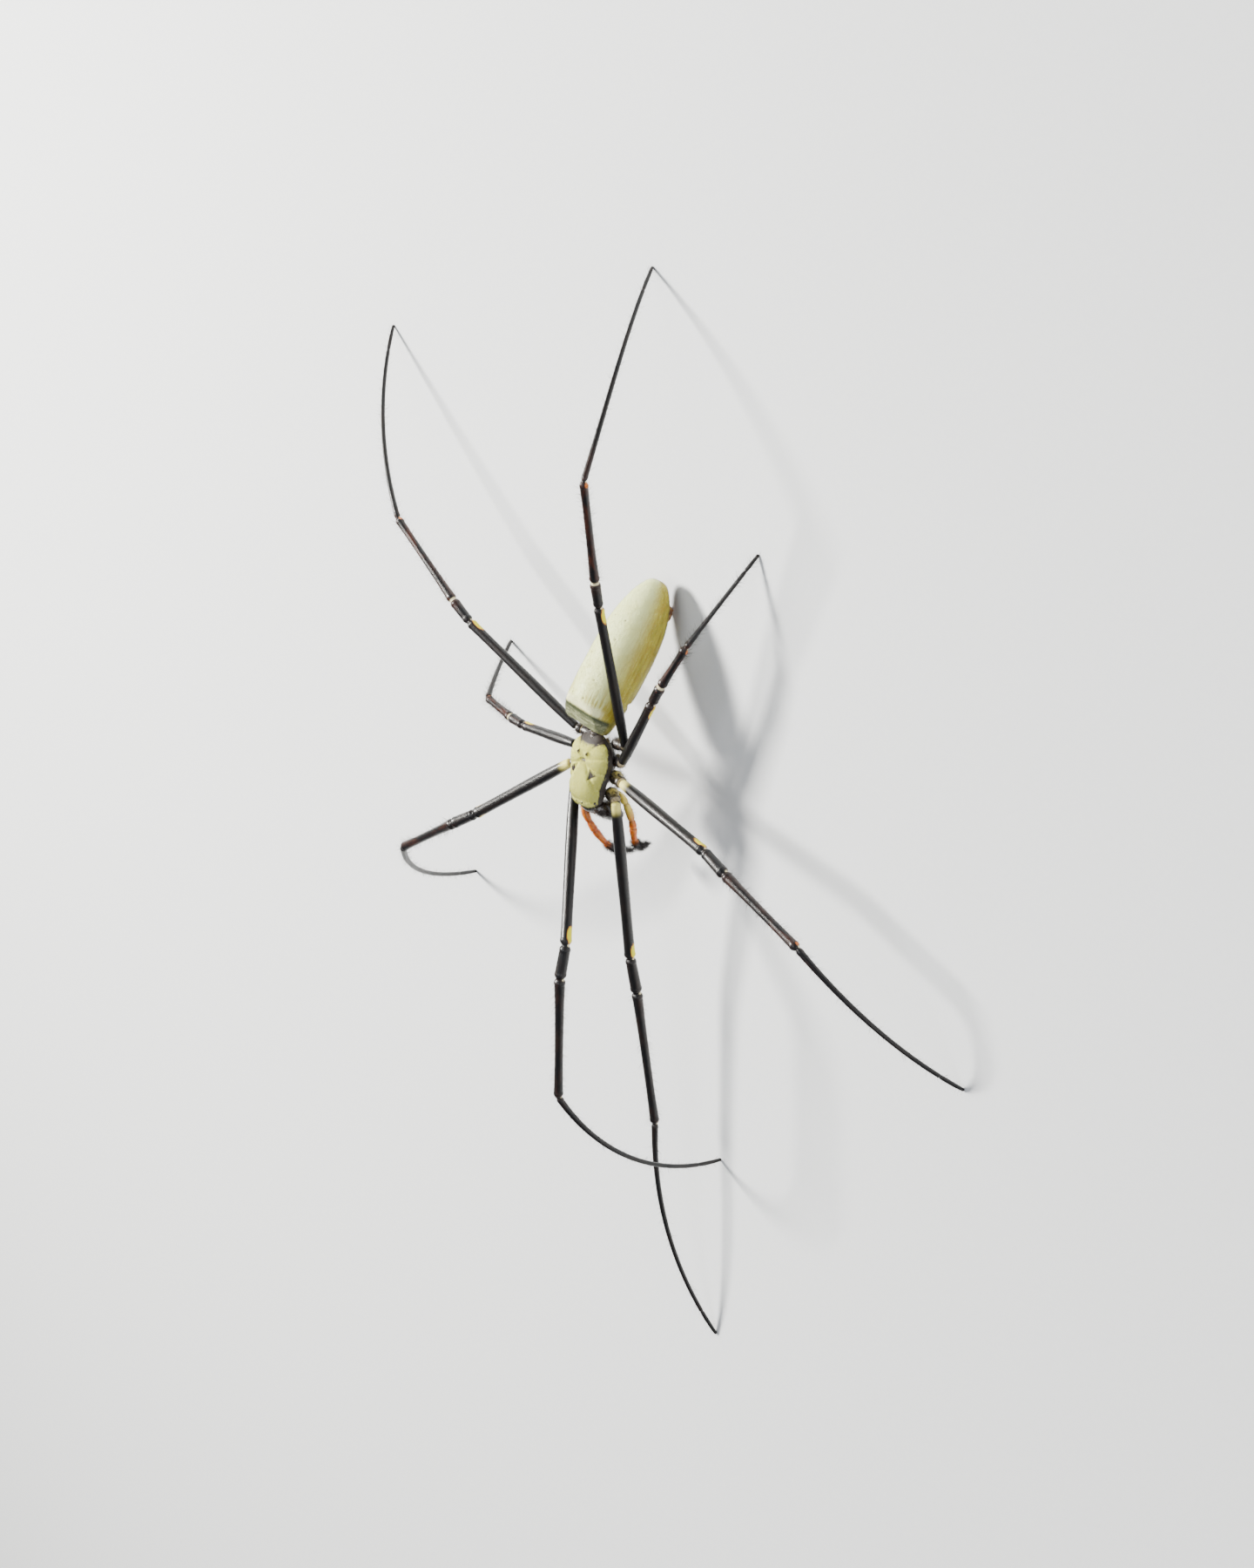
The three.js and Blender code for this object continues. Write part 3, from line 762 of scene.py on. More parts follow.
def cone_rings(base, aim, length, radii, around=28, rings=24, ridges=0.0):
    """Rings along a straight line: the radius follows the given numbers from base to tip, and
    closes as a quarter circle over the last tenth. Ridges ring the cone a little."""
    t = np.linspace(0, 1, rings)
    aim = unit(np.asarray(aim, float))
    side = unit(np.cross(aim, [0.13, 0.2, 0.97]))
    front = np.cross(side, aim)
    radius = along(radii, t) * (1 + ridges * np.sin(t * 40)) * round_ends(t, 0, 0.12, 0.001)
    line = np.asarray(base) + aim * (t * length)[:, None]
    return rings_round(line, front[None], side[None], radius, around)


def joined(skins):
    """Several closed skins as one array of points and one of triangles."""
    points, faces, start = [], [], 0
    for rings in skins:
        p, f = closed(rings)
        points.append(p)
        faces.append(f + start)
        start += len(p)
    return np.concatenate(points), np.concatenate(faces)


brown = Look("spinneret_skin", {"Specular IOR Level": 0.4})
brown_place = brown.here()
brown_patch = brown.noise(brown_place, 1400, 3)
brown.feed(
    Base_Color=brown.mix(brown_patch.between(0.4, 0.65), (0.16, 0.07, 0.03), (0.42, 0.22, 0.09)),
    Roughness=0.4 + brown_patch * 0.25,
)
brown.bump(brown.noise(brown_place, 6000, 4), 0.00005)
spinneret_place = abdomen_length * 0.82
spinneret_under = -abdomen_half_height * 0.84
cone_facts = [(0.62, -0.55, 0.4, 0.86), (0.3, 0.1, 0.25, 0.62), (0.6, 0.75, 0.34, 0.8)]
cone_profile = np.array([1, 0.95, 0.8, 0.5])
cones = []
for side in (-1, 1):
    for across, back_by, radius, length in cone_facts:
        base = (side * across, spinneret_place + back_by, spinneret_under - 0.1)
        aim = (side * 0.05, 0.65 + back_by * 0.3, -1)
        cone = cone_rings(base, aim, length, radius * cone_profile, ridges=0.03)
        cones.append(rear.points(cone))
collar_t = np.linspace(0, 1, 20)[:, None]
collar_v = turns(48)[None]
collar_out = 1.55 - 0.55 * collar_t ** 2 + 0.06 * np.sin(collar_v * 12) * collar_t
collar = np.stack([
    collar_out * np.sin(collar_v),
    spinneret_place + 1.08 * collar_out * np.cos(collar_v),
    spinneret_under + 0.35 - 0.75 * np.sin(collar_t * np.pi * 0.8) * np.ones_like(collar_v),
], -1)
cones.append(rear.points(collar))
spinneret_points, spinneret_faces = joined(cones)
make_piece("spinneret_cones", spinneret_points, spinneret_faces, brown, ["spinnerets"])

# %% [markdown]
# The shield over head and thorax is narrow and raised at the head and wide and low behind.
# A groove runs forward on each side from the pit in its middle, two small humps stand just behind the
# middle, and a thin rim runs round the edge. Its black shell is hidden by short golden hair, except
# on the humps and on the flanks. The pit and the grooves are darkened as painted shade, two dark
# wedges in front of the humps are a painted shadow, and the rear, under the overhang of the abdomen,
# is darkened as painted shade.

# %% The shield's surface
shield_front = -6.3
shield_length = 11.4
shield_half_width = 4.4
shield_height = 3


def shield_surface(rings=230, around=220):
    """Head and thorax shield: ring body, then the pit, the grooves, the humps and the rim. How dark
    each point is, from black hairless shell or from shade painted into the pit, grooves, wedges and
    rear, and how far it lies on the upper side are given with it."""
    points, _, v = ring_body(
        shield_length,
        np.array([0.72, 0.76, 0.8, 0.92, 1, 0.94, 0.7]) * shield_half_width,
        np.array([0.7, 0.96, 0.95, 0.82, 0.8, 0.66, 0.4]) * shield_height,
        [0.9, 0.5, 0.4, 0.35, 0.35, 0.35, 0.4],
        (5, 3), 2.2, rings, around,
    )
    points[..., 1] += shield_front + shield_length / 2
    normal = ring_normals(points)
    x, y, z = np.moveaxis(points, -1, 0)
    upper = np.clip(z * 2, 0, 1)
    pit = bell(np.hypot(x / 1.2, y - 0.9), 0.55)
    groove_x = 0.5 + 0.62 * (0.9 - y)
    groove = bell(np.abs(x) - groove_x, 0.38) * ramp(1.6 - y, 0.8) * ramp(y + 4.3, 1.5)
    rays = np.zeros_like(x)
    for angle in np.radians((35, 75, 112)):
        off_line = np.abs(x) * np.cos(angle) - (y - 0.9) * np.sin(angle)
        outward_by = np.abs(x) * np.sin(angle) + (y - 0.9) * np.cos(angle)
        ray = bell(off_line, 0.22) * ramp(outward_by - 0.8, 1.2) * ramp(4.4 - outward_by, 0.6)
        rays = np.maximum(rays, ray)
    humps = bell(np.hypot(np.abs(x) - 0.95, y - 1.9), 0.36)
    from_top = np.minimum(v, 2 * np.pi - v)
    rim = bell(from_top - np.pi / 2, 0.1)
    push = upper * (-0.4 * pit - 0.22 * groove - 0.07 * rays + 0.5 * humps) + 0.07 * rim
    points = points + normal * push[..., None]
    # The wedges are a painted shadow: dark triangles in front of the humps.
    wedge = ramp(1.05 * (3.3 - np.abs(x)) / 1.6 - np.abs(y + 1), 0.2) * ramp(np.abs(x) - 1.55, 0.2)
    # The rear is darkened as painted shade, where the abdomen hangs over it.
    behind = ramp(y - 2.7 - 0.06 * x**2, 0.8)
    brow = ramp(-5.9 - y, 0.2) * ramp(1.2 - z, 0.4)
    flank = ramp(from_top - 1.12, 0.14)
    # Painted shade deepens the pit, the grooves and the rays; the humps are black hairless shell.
    dark = pit + groove * 0.3 + humps * 1.1 + rays * 0.4 + wedge
    return points, np.clip(np.clip(dark, 0, 1) + behind + flank + brow, 0, 1), upper


shield_local, shield_dark_and_shade, shield_upper = shield_surface()
shield_rings = body.points(shield_local)

# %% [markdown]
# The hair of the shield lies flat and forward like a short felt. It never grew on the humps and
# flanks, and it is thinned in the pit, grooves, wedges and rear, where the black shell shows as
# painted shade. Golden paint alone would look like metal. So the shell is golden only as a ground,
# and thousands of hairs lie over it, thinned out where the marks say dark.

# %% The shield's finish and hair
shell = Look("shield_shell", {"Specular IOR Level": 0.3, "Coat Roughness": 0.2})
shell_place = shell.vector("place")
shell_dark_and_shade = shell.number("dark")
shell_grain = shell.noise(shell_place, 3.5, 4)
gold_under = shell.mix(shell_grain.between(0.35, 0.7), (0.64, 0.6, 0.08), (0.8, 0.78, 0.2))
shell_up = shell.number("upper")
black_shell_and_shade = shell.mix(shell_grain, (0.022, 0.012, 0.007), (0.008, 0.005, 0.004))
# Where the dark mark says so, the golden ground turns black: hairless shell on humps and flanks,
# painted shade in the pit, grooves, wedges and rear.
shell.feed(
    Base_Color=shell.mix((1 - shell_dark_and_shade) * shell_up, black_shell_and_shade, gold_under),
    Roughness=0.34 + shell_grain * 0.25,
    Coat_Weight=shell_dark_and_shade * 0.2,
)
shell.bump(shell.noise(shell_place, 9, 5), 0.00006)
make_skin(
    "shield_shell", shield_rings, shell, ["carapace"],
    {"place": shield_local, "dark": shield_dark_and_shade, "upper": shield_upper},
)


def hair_look(name, light, dark, rough=0.42):
    """Hair that goes from a dark to a light colour, each hair with its own draw of the mix."""
    look = Look(name, {"Specular IOR Level": 0.12})
    each = look.number("shade")
    look.feed(Base_Color=look.mix(each, dark, light), Roughness=rough + each * 0.15)
    return look


gold_hair = hair_look("golden_hair", (0.95, 0.96, 0.4), (0.8, 0.78, 0.15))
dark_hair = hair_look("dark_hair", (0.012, 0.008, 0.006), (0.003, 0.003, 0.003), 0.6)

shield_back = np.zeros_like(shield_local)
shield_back[..., 1] = 1
# Hair thins where the dark mark says so, leaving black both on hairless shell and where shade is
# painted.
shield_weight = shield_upper * (1 - 0.97 * shield_dark_and_shade) ** 2
make_coat(
    "shield_hair", shield_rings, 21000, gold_hair, "shield", 3, shield_weight,
    body.directions(-shield_back), lift=0.22, length=(0.28, 0.5), radius=0.018,
    bend=0.3, spread=0.35,
)
front_weight = bell(shield_local[..., 1] + 5.9, 0.45) * (shield_local[..., 2] > 1.2)
make_coat(
    "brow_fringe", shield_rings, 1500, gold_hair, "shield", 4, front_weight,
    body.directions(-shield_back + [0, 0, -0.35]), lift=0.5, length=(0.35, 0.65), radius=0.02,
    bend=0.3, spread=0.3,
)

# %% [markdown]
# Eight small black eyes stand on the front of the head: four in a square in the middle and
# two together at each corner. They are smooth and look wet, which one finish for the whole
# head couldn't show, so they are small spheres with a finish of their own.

# %% Eyes
glass = Look("eye", {"Roughness": 0.06, "Coat Weight": 1, "Coat Roughness": 0.03, "IOR": 1.5})
glass_place = glass.here()
glass_cloud = glass.noise(glass_place, 2500, 2)
glass.feed(Base_Color=glass.mix(glass_cloud, (0.012, 0.008, 0.006), (0.035, 0.018, 0.01)))
eye_places = [
    (0.55, shield_front + 0.12, 1.15, 0.27), (0.62, shield_front + 0.5, 1.95, 0.27),
    (2.45, shield_front + 0.45, 0.7, 0.23), (2.6, shield_front + 0.75, 1.15, 0.23),
]


def ball_rings(middle, radius, rings=18, around=28):
    """A sphere: y = -cos(a), and a circle of radius sin(a) round it, for a from 0 to pi."""
    a = (np.pi * (np.arange(rings) + 0.5) / rings)[:, None]
    v = turns(around)[None]
    ball = np.stack([np.sin(a) * np.sin(v), -np.cos(a) + 0 * v, np.sin(a) * np.cos(v)], -1)
    return np.asarray(middle) + radius * ball


eye_balls = [
    body.points(ball_rings((side * x, y, z), radius))
    for side in (-1, 1)
    for x, y, z, radius in eye_places
]
eye_points, eye_faces = joined(eye_balls)
make_piece("eyes", eye_points, eye_faces, glass)

# %% [markdown]
# The underside of the thorax is a heart-shaped plate, dark with a yellow middle, between the
# roots of the legs, and the waist is a short dark stalk. Neither shows from above, but a model
# is turned over too. The plate is another body of rings, and the waist a plain ridged tube.

# %% Breast plate and waist
plate = Look("breast_plate", {"Specular IOR Level": 0.5, "Coat Roughness": 0.25})
plate_place = plate.vector("place")
plate_grain = plate.noise(plate_place, 2.5, 4)
plate_yellow = (1 - plate.number("rim")) * plate_grain.between(0.42, 0.6)
plate.feed(
    Base_Color=plate.mix(plate_yellow, (0.03, 0.018, 0.01), (0.42, 0.27, 0.05)),
    Roughness=0.3 + plate_grain * 0.2,
    Coat_Weight=0.3 + plate_grain * 0.1,
)
plate.bump(plate.noise(plate_place, 8, 4), 0.00005)
plate_local, plate_t, _ = ring_body(
    7.6, np.array([0.7, 0.92, 1, 0.9, 0.45]) * 1.9, [0.5, 0.9, 1, 0.9, 0.5],
    [0.4, 0.6, 0.75, 0.6, 0.3], (3, 2.2), 2.4, 90, 90,
)
plate_local[..., 1] += 0.1
plate_local[..., 2] -= 2.3
plate_rim = np.clip(np.abs(plate_local[..., 0]) / 1.6 + np.abs(plate_t - 0.5) * 0.9, 0, 1)
plate_rings = body.points(plate_local)
make_skin(
    "breast_plate", plate_rings, plate, ["sternum"],
    {"place": plate_local, "rim": plate_rim},
)
make_coat(
    "breast_hair", plate_rings, 1500, dark_hair, "underside", 5,
    (plate_local[..., 2] < -2.4) * 1.0, lift=0.6, length=(0.35, 0.7), radius=0.014,
)

waist_from = body.points([0, shield_front + shield_length - 1.2, 0.3])
waist_to = rear.points([0, 1.2, -1.4])
waist_length = np.linalg.norm(waist_to - waist_from)
waist_rings = cone_rings(
    waist_from, waist_to - waist_from, waist_length, [0.88, 0.74, 0.68, 0.8, 0.88],
    around=40, rings=60, ridges=0.02,
)
waist_marks = {"place": waist_rings, "rim": np.ones(waist_rings.shape[:2])}
make_skin("waist", waist_rings, plate, ["pedicel"], waist_marks)

# %% [markdown]
# A leg is a chain of six stiff tubes with soft skin between them. It could be given by the
# places of its joints, but then its pieces would change length whenever one is moved. So each
# aim below gives the way a piece points, around from straight ahead and up from the floor, and
# the last two pieces share one even curve that is tilted until the toe meets the floor.

# %% The legs' chains
leg_roots = [(2.4, -3.9, -1.9), (2.7, -1.3, -2), (2.7, 1.3, -2), (2.3, 3.8, -1.9)]
leg_hips = [(5, -4.7, -0.9), (6.1, -1.5, -0.8), (5.6, 1.5, -0.8), (5.8, 4.2, -0.9)]
leg_lengths = [
    (27.4, 6, 22.6, 35, 5), (23, 5.6, 17.8, 28.6, 4.6),
    (13.6, 3.8, 8.3, 14.4, 3.2), (26.1, 4.8, 18.2, 32, 4.9),
]
leg_slim = [1, 1, 0.88, 0.87]
leg_aims = {
    "left": [
        ((-21, -7), (-14, -8), (-14, -5), (-17, 3), (-3, -25)),
        ((68, 5), (57, 4), (57, 1), (29, -15), (14, -47)),
        ((135, -5), (134, -5), (134, -12), (142, -32), (148, -40)),
        ((158, 13), (153, 14), (153, 12), (175, -32), (215, -50)),
    ],
    "right": [
        ((-15, 26), (18, 13), (18, 2), (0, -24), (13, -85)),
        ((69, 17), (73, 13), (73, 1), (54, -21), (56, -72)),
        ((100, 1), (107, -3), (107, -9), (116, -44), (122, -51)),
        ((131, 7), (136, 2), (136, -2), (146, -14), (156, -38)),
    ],
}
leg_reach = {"left": [1.08, 1, 1, 1], "right": [0.93, 1, 1, 1]}
leg_radii = [
    [0.74, 0.9, 0.92, 0.87, 0.84, 0.88], [0.82, 0.88, 0.9], [0.86, 0.72, 0.67, 0.66, 0.74],
    [0.54, 0.48, 0.43, 0.41, 0.39, 0.37, 0.36, 0.35, 0.34], [0.32, 0.34, 0.31, 0.26],
]

# How much of its radius a toe's last ring stands above the floor, and how blunt its tip is.
toe_stand = 0.8
toe_blunt = 0.6
most_tilt = 25.0
skin_above_floor = 0.01
claw_above_floor = 0.035


def heading(side, around, up):
    """Unit vectors of aims given as arrays of degrees."""
    around, up = np.radians(around), np.radians(up)
    flat = np.cos(up)
    return np.stack([mirrors[side] * np.sin(around) * flat, -np.cos(around) * flat, np.sin(up)], -1)


def smoothed(values, width):
    """A running mean with a bell-shaped weight, as wide as so many samples."""
    reach = int(3 * width)
    weight = bell(np.arange(-reach, reach + 1), width * 1.4)
    padded = np.concatenate([np.full(reach, values[0]), values, np.full(reach, values[-1])])
    return np.convolve(padded, weight / weight.sum(), "valid")


def leg_chain(side, n):
    """The middle line of a leg from hip to toe in small steps, with its way forward, its side
    and its upper side at each, and the distances of the joints from the hip."""
    lengths = np.array(leg_lengths[n]) * leg_reach[side][n]
    joints = np.concatenate([[0], np.cumsum(lengths)])
    step = 0.05
    s = np.arange(0, joints[-1], step) + step / 2
    aims = np.array(leg_aims[side][n], float)
    piece = np.searchsorted(joints, s) - 1
    foot = np.clip((s - joints[3]) / (joints[5] - joints[3]), 0, 1)
    bent = aims[3] + (aims[4] - aims[3]) * foot[:, None]
    around, up = np.where(piece[:, None] < 3, aims[np.minimum(piece, 2)], bent).T
    hip = body.points(mirrored(leg_hips[n], side))
    toe_radius = leg_radii[-1][-1] * leg_slim[n]
    low, high = -most_tilt, most_tilt
    for _ in range(40):
        tilt = (low + high) / 2
        drop = hip[2] + np.sum(heading(side, around, up + tilt * (piece > 2))[:, 2]) * step
        steep = np.radians(aims[4, 1] + tilt)
        wanted = (toe_stand * np.cos(steep) + toe_blunt * np.sin(steep)) * toe_radius
        low, high = (low, tilt) if drop > wanted else (tilt, high)
    up = up + tilt * (piece > 2)
    around = smoothed(around, 7)
    up = smoothed(up, 7)
    forward = heading(side, around, up)
    line = hip + np.cumsum(forward, axis=0) * step - forward * step / 2
    flat = np.radians(around)
    level = np.stack([mirrors[side] * np.cos(flat), np.sin(flat), np.zeros_like(flat)], -1)
    upper = unit(np.cross(level, forward))
    upper *= np.sign(np.sum(upper[:, 2]))
    return {
        "s": s, "line": line, "forward": forward, "side": level, "upper": upper, "joints": joints,
    }


# %% [markdown]
# The tube's thickness follows the same numbers as the solids, with what they leave out: each
# piece flares to a small collar at its ends and the soft skin between two pieces is a narrow
# neck. The necks are cream below, and just before the first joint the wide soft skin shows as
# a yellow oval, so the skin carries those marks for its finish.

# %% The legs' surface and marks


def leg_surface(chain, slim, around=28):
    """Rings along the leg: radius(s) from the pieces' numbers, times a neck at each joint and
    a collar beside it, round the middle line; v is 0 on the upper side."""
    joints = chain["joints"]
    near = np.concatenate([j + np.linspace(-1.5, 1.5, 34) for j in joints[1:5]])
    ends = np.concatenate([np.linspace(0.05, 0.8, 10), joints[5] - np.geomspace(0.02, 0.8, 14)])
    s = np.concatenate([np.arange(0.3, joints[5] - 0.1, 0.42), near, ends])
    s = np.unique(np.clip(s, 0.02, joints[5] - 0.02))
    radius = np.zeros_like(s)
    for k, values in enumerate(leg_radii):
        inside = (s >= joints[k]) & (s <= joints[k + 1])
        t = (s - joints[k]) / (joints[k + 1] - joints[k])
        radius = np.where(inside, along(values, t), radius)
    radius = radius * slim
    neck = sum(bell(s - j, 0.3) for j in joints[1:4]) + 0.6 * bell(s - joints[4], 0.2)
    collar = sum(bell(np.abs(s - j) - 0.72, 0.24) for j in joints[1:4])
    radius = radius * (1 - 0.3 * neck + 0.07 * collar)
    root = np.sqrt(1 - ramp(0.5 - s, 0.5) ** 2)
    tip = np.sqrt(1 - ramp(s - joints[5] + 0.3, 0.3) ** 2)
    radius = radius * root * tip
    line, side, upper = (read_along(chain[key], chain["s"], s) for key in ("line", "side", "upper"))
    rings = rings_round(line, side, upper, radius, around)
    rings[..., 2] = np.maximum(rings[..., 2], skin_above_floor)
    return rings, s, turns(around), radius


def leg_marks(s, v, radius, joints, side, n):
    """Where the soft skin shows, where the yellow ovals lie, where a joint glows orange, and
    where the shell is brown or pale instead of black."""
    s = s[:, None]
    below = np.abs(v - np.pi)[None]
    under = ramp(1.9 - below, 0.5)
    ring = under if n < 2 else np.ones_like(under)
    soft = bell(s - joints[2], 0.26) * ring + bell(s - joints[1], 0.22) * under
    soft = soft + bell(s - joints[3], 0.2) * under * 0.9
    oval = 1.3 - ((s - joints[1] + 1.5) / 1.3) ** 2 - ((below - 1.15) / 0.75) ** 2
    ember = bell(s - joints[3] + 0.4, 0.4) * ramp(2.2 - below, 0.6) * (0.5 + 0.25 * n)
    brown = (bell(s - joints[3] + 4, 6) * 0.8 + bell(s - joints[2] - 3, 5) * 0.6) * (0.25 + 0.3 * n)
    pale = bell(s - 0.2, 1.9) * (n == 1 or (n == 0 and side == "left")) * (below > 0.9)
    place = np.stack([s + 0 * below, v[None] * radius[:, None], 0 * s + 0 * below], -1)
    marks = {"soft": soft, "oval": oval, "ember": ember, "brown": brown, "pale": pale}
    marks = {mark: np.clip(values + 0 * below, 0, 1) for mark, values in marks.items()}
    marks["place"] = place
    return marks


# %% [markdown]
# The shell of a leg is smooth and nearly black, browner on its outer pieces, with pale necks,
# yellow ovals and, on some joints, an orange glow. Each leg could have a finish of its own. One
# finish for all eight reads the marks that the surface carries, so only the marks differ.

# %% The legs' finish
chitin = Look("leg_shell", {"Specular IOR Level": 0.28, "Coat Roughness": 0.12, "IOR": 1.5})
leg_place = chitin.vector("place")
leg_cloud = chitin.noise(chitin.stretched(leg_place, (0.25, 1, 1)), 1.1, 3)
leg_grain = chitin.noise(chitin.stretched(leg_place, (1.2, 7, 1)), 2.2, 4, 0.6)
leg_soft, leg_oval, leg_bare = (chitin.number(mark) for mark in ("soft", "oval", "pale"))
leg_colour = chitin.painted(
    (0.004, 0.004, 0.005),
    (leg_cloud.between(0.35, 0.75), (0.012, 0.008, 0.007)),
    (chitin.number("brown") * leg_cloud.between(0.4, 0.7), (0.07, 0.018, 0.009)),
    (leg_soft.between(0.25, 0.8), (0.68, 0.6, 0.38)),
    (leg_bare.between(0.15, 0.85), (0.78, 0.7, 0.2)),
    (chitin.number("ember").between(0.35, 0.75), (0.56, 0.15, 0.02)),
    (leg_oval.between(0.02, 0.25), (0.6, 0.25, 0.03)),
    (leg_oval.between(0.25, 0.5), (0.78, 0.7, 0.004)),
)
leg_pale = (leg_soft + leg_oval + leg_bare).clamped()
chitin.feed(
    Base_Color=leg_colour,
    Roughness=0.22 + leg_grain * 0.2 + leg_pale * 0.2,
    Coat_Weight=(1 - leg_pale) * 0.18,
)
chitin.bump(leg_grain, 0.00004)

# %% [markdown]
# Fine dark hair lies along the whole leg, and longer bristles stand off the outer pieces. Drawn
# hair would be missing from the leg's edge, where it shows most, so each is a solid spike. Two
# hooked claws and a small middle one close the toe.

# %% Building the legs
leg_parts = ("femur", "patella", "tibia", "metatarsus", "tarsus")
claw_look = Look("claw", {"Roughness": 0.22, "Coat Weight": 0.4})
claw_place = claw_look.here()
claw_look.feed(Base_Color=claw_look.mix(
    claw_look.noise(claw_place, 3000, 2), (0.01, 0.008, 0.007), (0.05, 0.025, 0.012),
))


def claw_rings(base, forward, side, down, length, radius):
    """A hooked claw: a tube whose heading turns from forward toward down as a quarter circle,
    with a radius that falls evenly to a point."""
    t = np.linspace(0, 1, 12)[:, None]
    line = base + length * (np.sin(t * 1.2) * forward + (1 - np.cos(t * 1.2)) * down)
    out = np.cos(t * 1.2) * down - np.sin(t * 1.2) * forward
    v = turns(10)[None, :, None]
    thick = (radius * (1 - t * 0.9))[:, None]
    return line[:, None] + thick * (np.cos(v) * side - np.sin(v) * out[:, None])


for side, mirror in mirrors.items():
    for n in range(4):
        label = f"{side}_leg_{n + 1}"
        chain = leg_chain(side, n)
        rings, s, v, radius = leg_surface(chain, leg_slim[n])
        marks = leg_marks(s, v, radius, chain["joints"], side, n)
        names = [f"{label}_{part}" for part in leg_parts]
        make_skin(f"{label}_shell", rings, chitin, names, marks)
        covered = (1 - marks["soft"]) * (marks["oval"] < 0.1) * (1 - 0.6 * marks["pale"])
        make_coat(
            f"{label}_down", rings, 4500, dark_hair, "leg", 20 + n + 10 * mirror, covered,
            lift=0.22, length=(0.22, 0.38), radius=0.007, bend=0.25, spread=0.12, steps=1,
        )
        outer = covered * (s > chain["joints"][2])[:, None]
        make_coat(
            f"{label}_bristles", rings, 800, dark_hair, "leg", 60 + n + 10 * mirror, outer,
            lift=0.7, length=(0.6, 1.3), radius=0.012, bend=0.3, spread=0.2,
        )
        tip, forward, level = (chain[key][-1] for key in ("line", "forward", "side"))
        claws = []
        for across in (-0.12, 0.12, 0):
            size = 0.42 if across else 0.26
            base = tip + level * across - forward * 0.25 + [0, 0, 0.06]
            ahead = forward * [1, 1, 0.2]
            claws.append(claw_rings(base, ahead, level, np.array([0, 0, -0.2]), size, 0.07))
        claw_points, claw_faces = joined(claws)
        claw_points[:, 2] = np.maximum(claw_points[:, 2], claw_above_floor)
        make_piece(f"{label}_claws", claw_points, claw_faces, claw_look)

# %% [markdown]
# Each leg grows from a stout root piece under the shield's edge, with a groove before its end
# where the leg turns. The roots are dark brown above and yellow below, and those of the first
# two pairs are yellow most of the way round. A straight tube is enough for so short a piece,
# and its numbers carry the groove and the swelling.

# %% Leg roots
root_look = Look("leg_root", {"Specular IOR Level": 0.5, "Coat Roughness": 0.25})
root_place = root_look.vector("place")
root_grain = root_look.noise(root_place, 2.2, 4)
root_yellow = root_look.number("patch") * root_grain.between(0.38, 0.55)
root_look.feed(
    Base_Color=root_look.painted(
        (0.018, 0.011, 0.008),
        (root_yellow, (0.74, 0.6, 0.16)),
        (root_look.number("soft").between(0.3, 0.8), (0.5, 0.4, 0.24)),
    ),
    Roughness=0.32 + root_grain * 0.2,
    Coat_Weight=0.25 + root_grain * 0.1,
)
root_look.bump(root_look.noise(root_place, 7, 4), 0.00004)
root_radii = [0.8, 1.05, 1.12, 1, 0.84, 0.95, 0.82]
root_t = np.concatenate([[0.002, 0.01, 0.03], np.linspace(0.06, 0.94, 60), [0.97, 0.99, 0.998]])
root_around = 44
for side, mirror in mirrors.items():
    for n in range(4):
        start = body.points(mirrored(leg_roots[n], side))
        end = body.points(mirrored(leg_hips[n], side))
        length = np.linalg.norm(end - start)
        aim = unit(end - start)
        level = unit(np.cross(aim, [0, 0, 1]))
        high = np.cross(level, aim)
        groove = bell(root_t - 0.7, 0.025)
        radius = along(root_radii, root_t) * leg_slim[n] * round_ends(root_t, 0.06, 0.06, 0)
        radius = radius * (1 - 0.12 * groove)
        line = start + aim * (root_t * length)[:, None]
        rings = rings_round(line, level[None], high[None], radius, root_around)
        below = np.clip((1 if n < 2 else 0.3) - np.cos(turns(root_around)), 0, 1)
        patch = below[None] * bell(root_t - 0.45, 0.35)[:, None]
        soft = (groove + bell(root_t - 1, 0.04))[:, None] + np.zeros_like(patch)
        label = f"{side}_leg_{n + 1}"
        make_skin(
            f"{label}_root", rings, root_look, [f"{label}_coxa"],
            {"place": rings, "patch": patch, "soft": soft},
        )
        make_coat(
            f"{label}_root_hair", rings, 500, dark_hair, "leg",
            100 + n + 10 * mirror, lift=0.5, length=(0.35, 0.7), radius=0.014, bend=0.3,
        )

# %% [markdown]
# The palps are short extra legs beside the mouth: orange red, with dark joints and a black,
# bristly last piece, and the left one yellow near the mouth. Their bends are softer than the
# legs', so each is one tube along a curve through a few points, with a neck at each joint.

# %% Palps
palp_paths = {
    "left": [
        (1.7, -4.4, -3.4), (3.9, -5.2, -3.6), (3.9, -8.8, -5.7), (3.5, -12, -7),
        (3, -13.3, -8.4), (2.6, -13.3, -10.9),
    ],
    "right": [
        (1.7, -4.4, -3.4), (3.9, -5.6, -3), (3.9, -8.6, -2.6), (3.2, -11, -3.6),
        (2.5, -13.8, -6), (2, -15, -7.6), (1.6, -15.7, -11.6),
    ],
}
palp_radius = 0.6
palp_profile = [0.85, 1.1, 1, 0.85, 1, 1.02, 0.86, 1, 1, 0.82, 0.92, 0.94, 0.84, 0.66, 0.42]
palp_joints = (0.2, 0.43, 0.53, 0.68)
palp_around = 30
bristle = {"lift": 0.6, "radius": 0.013, "bend": 0.3, "spread": 0.2}


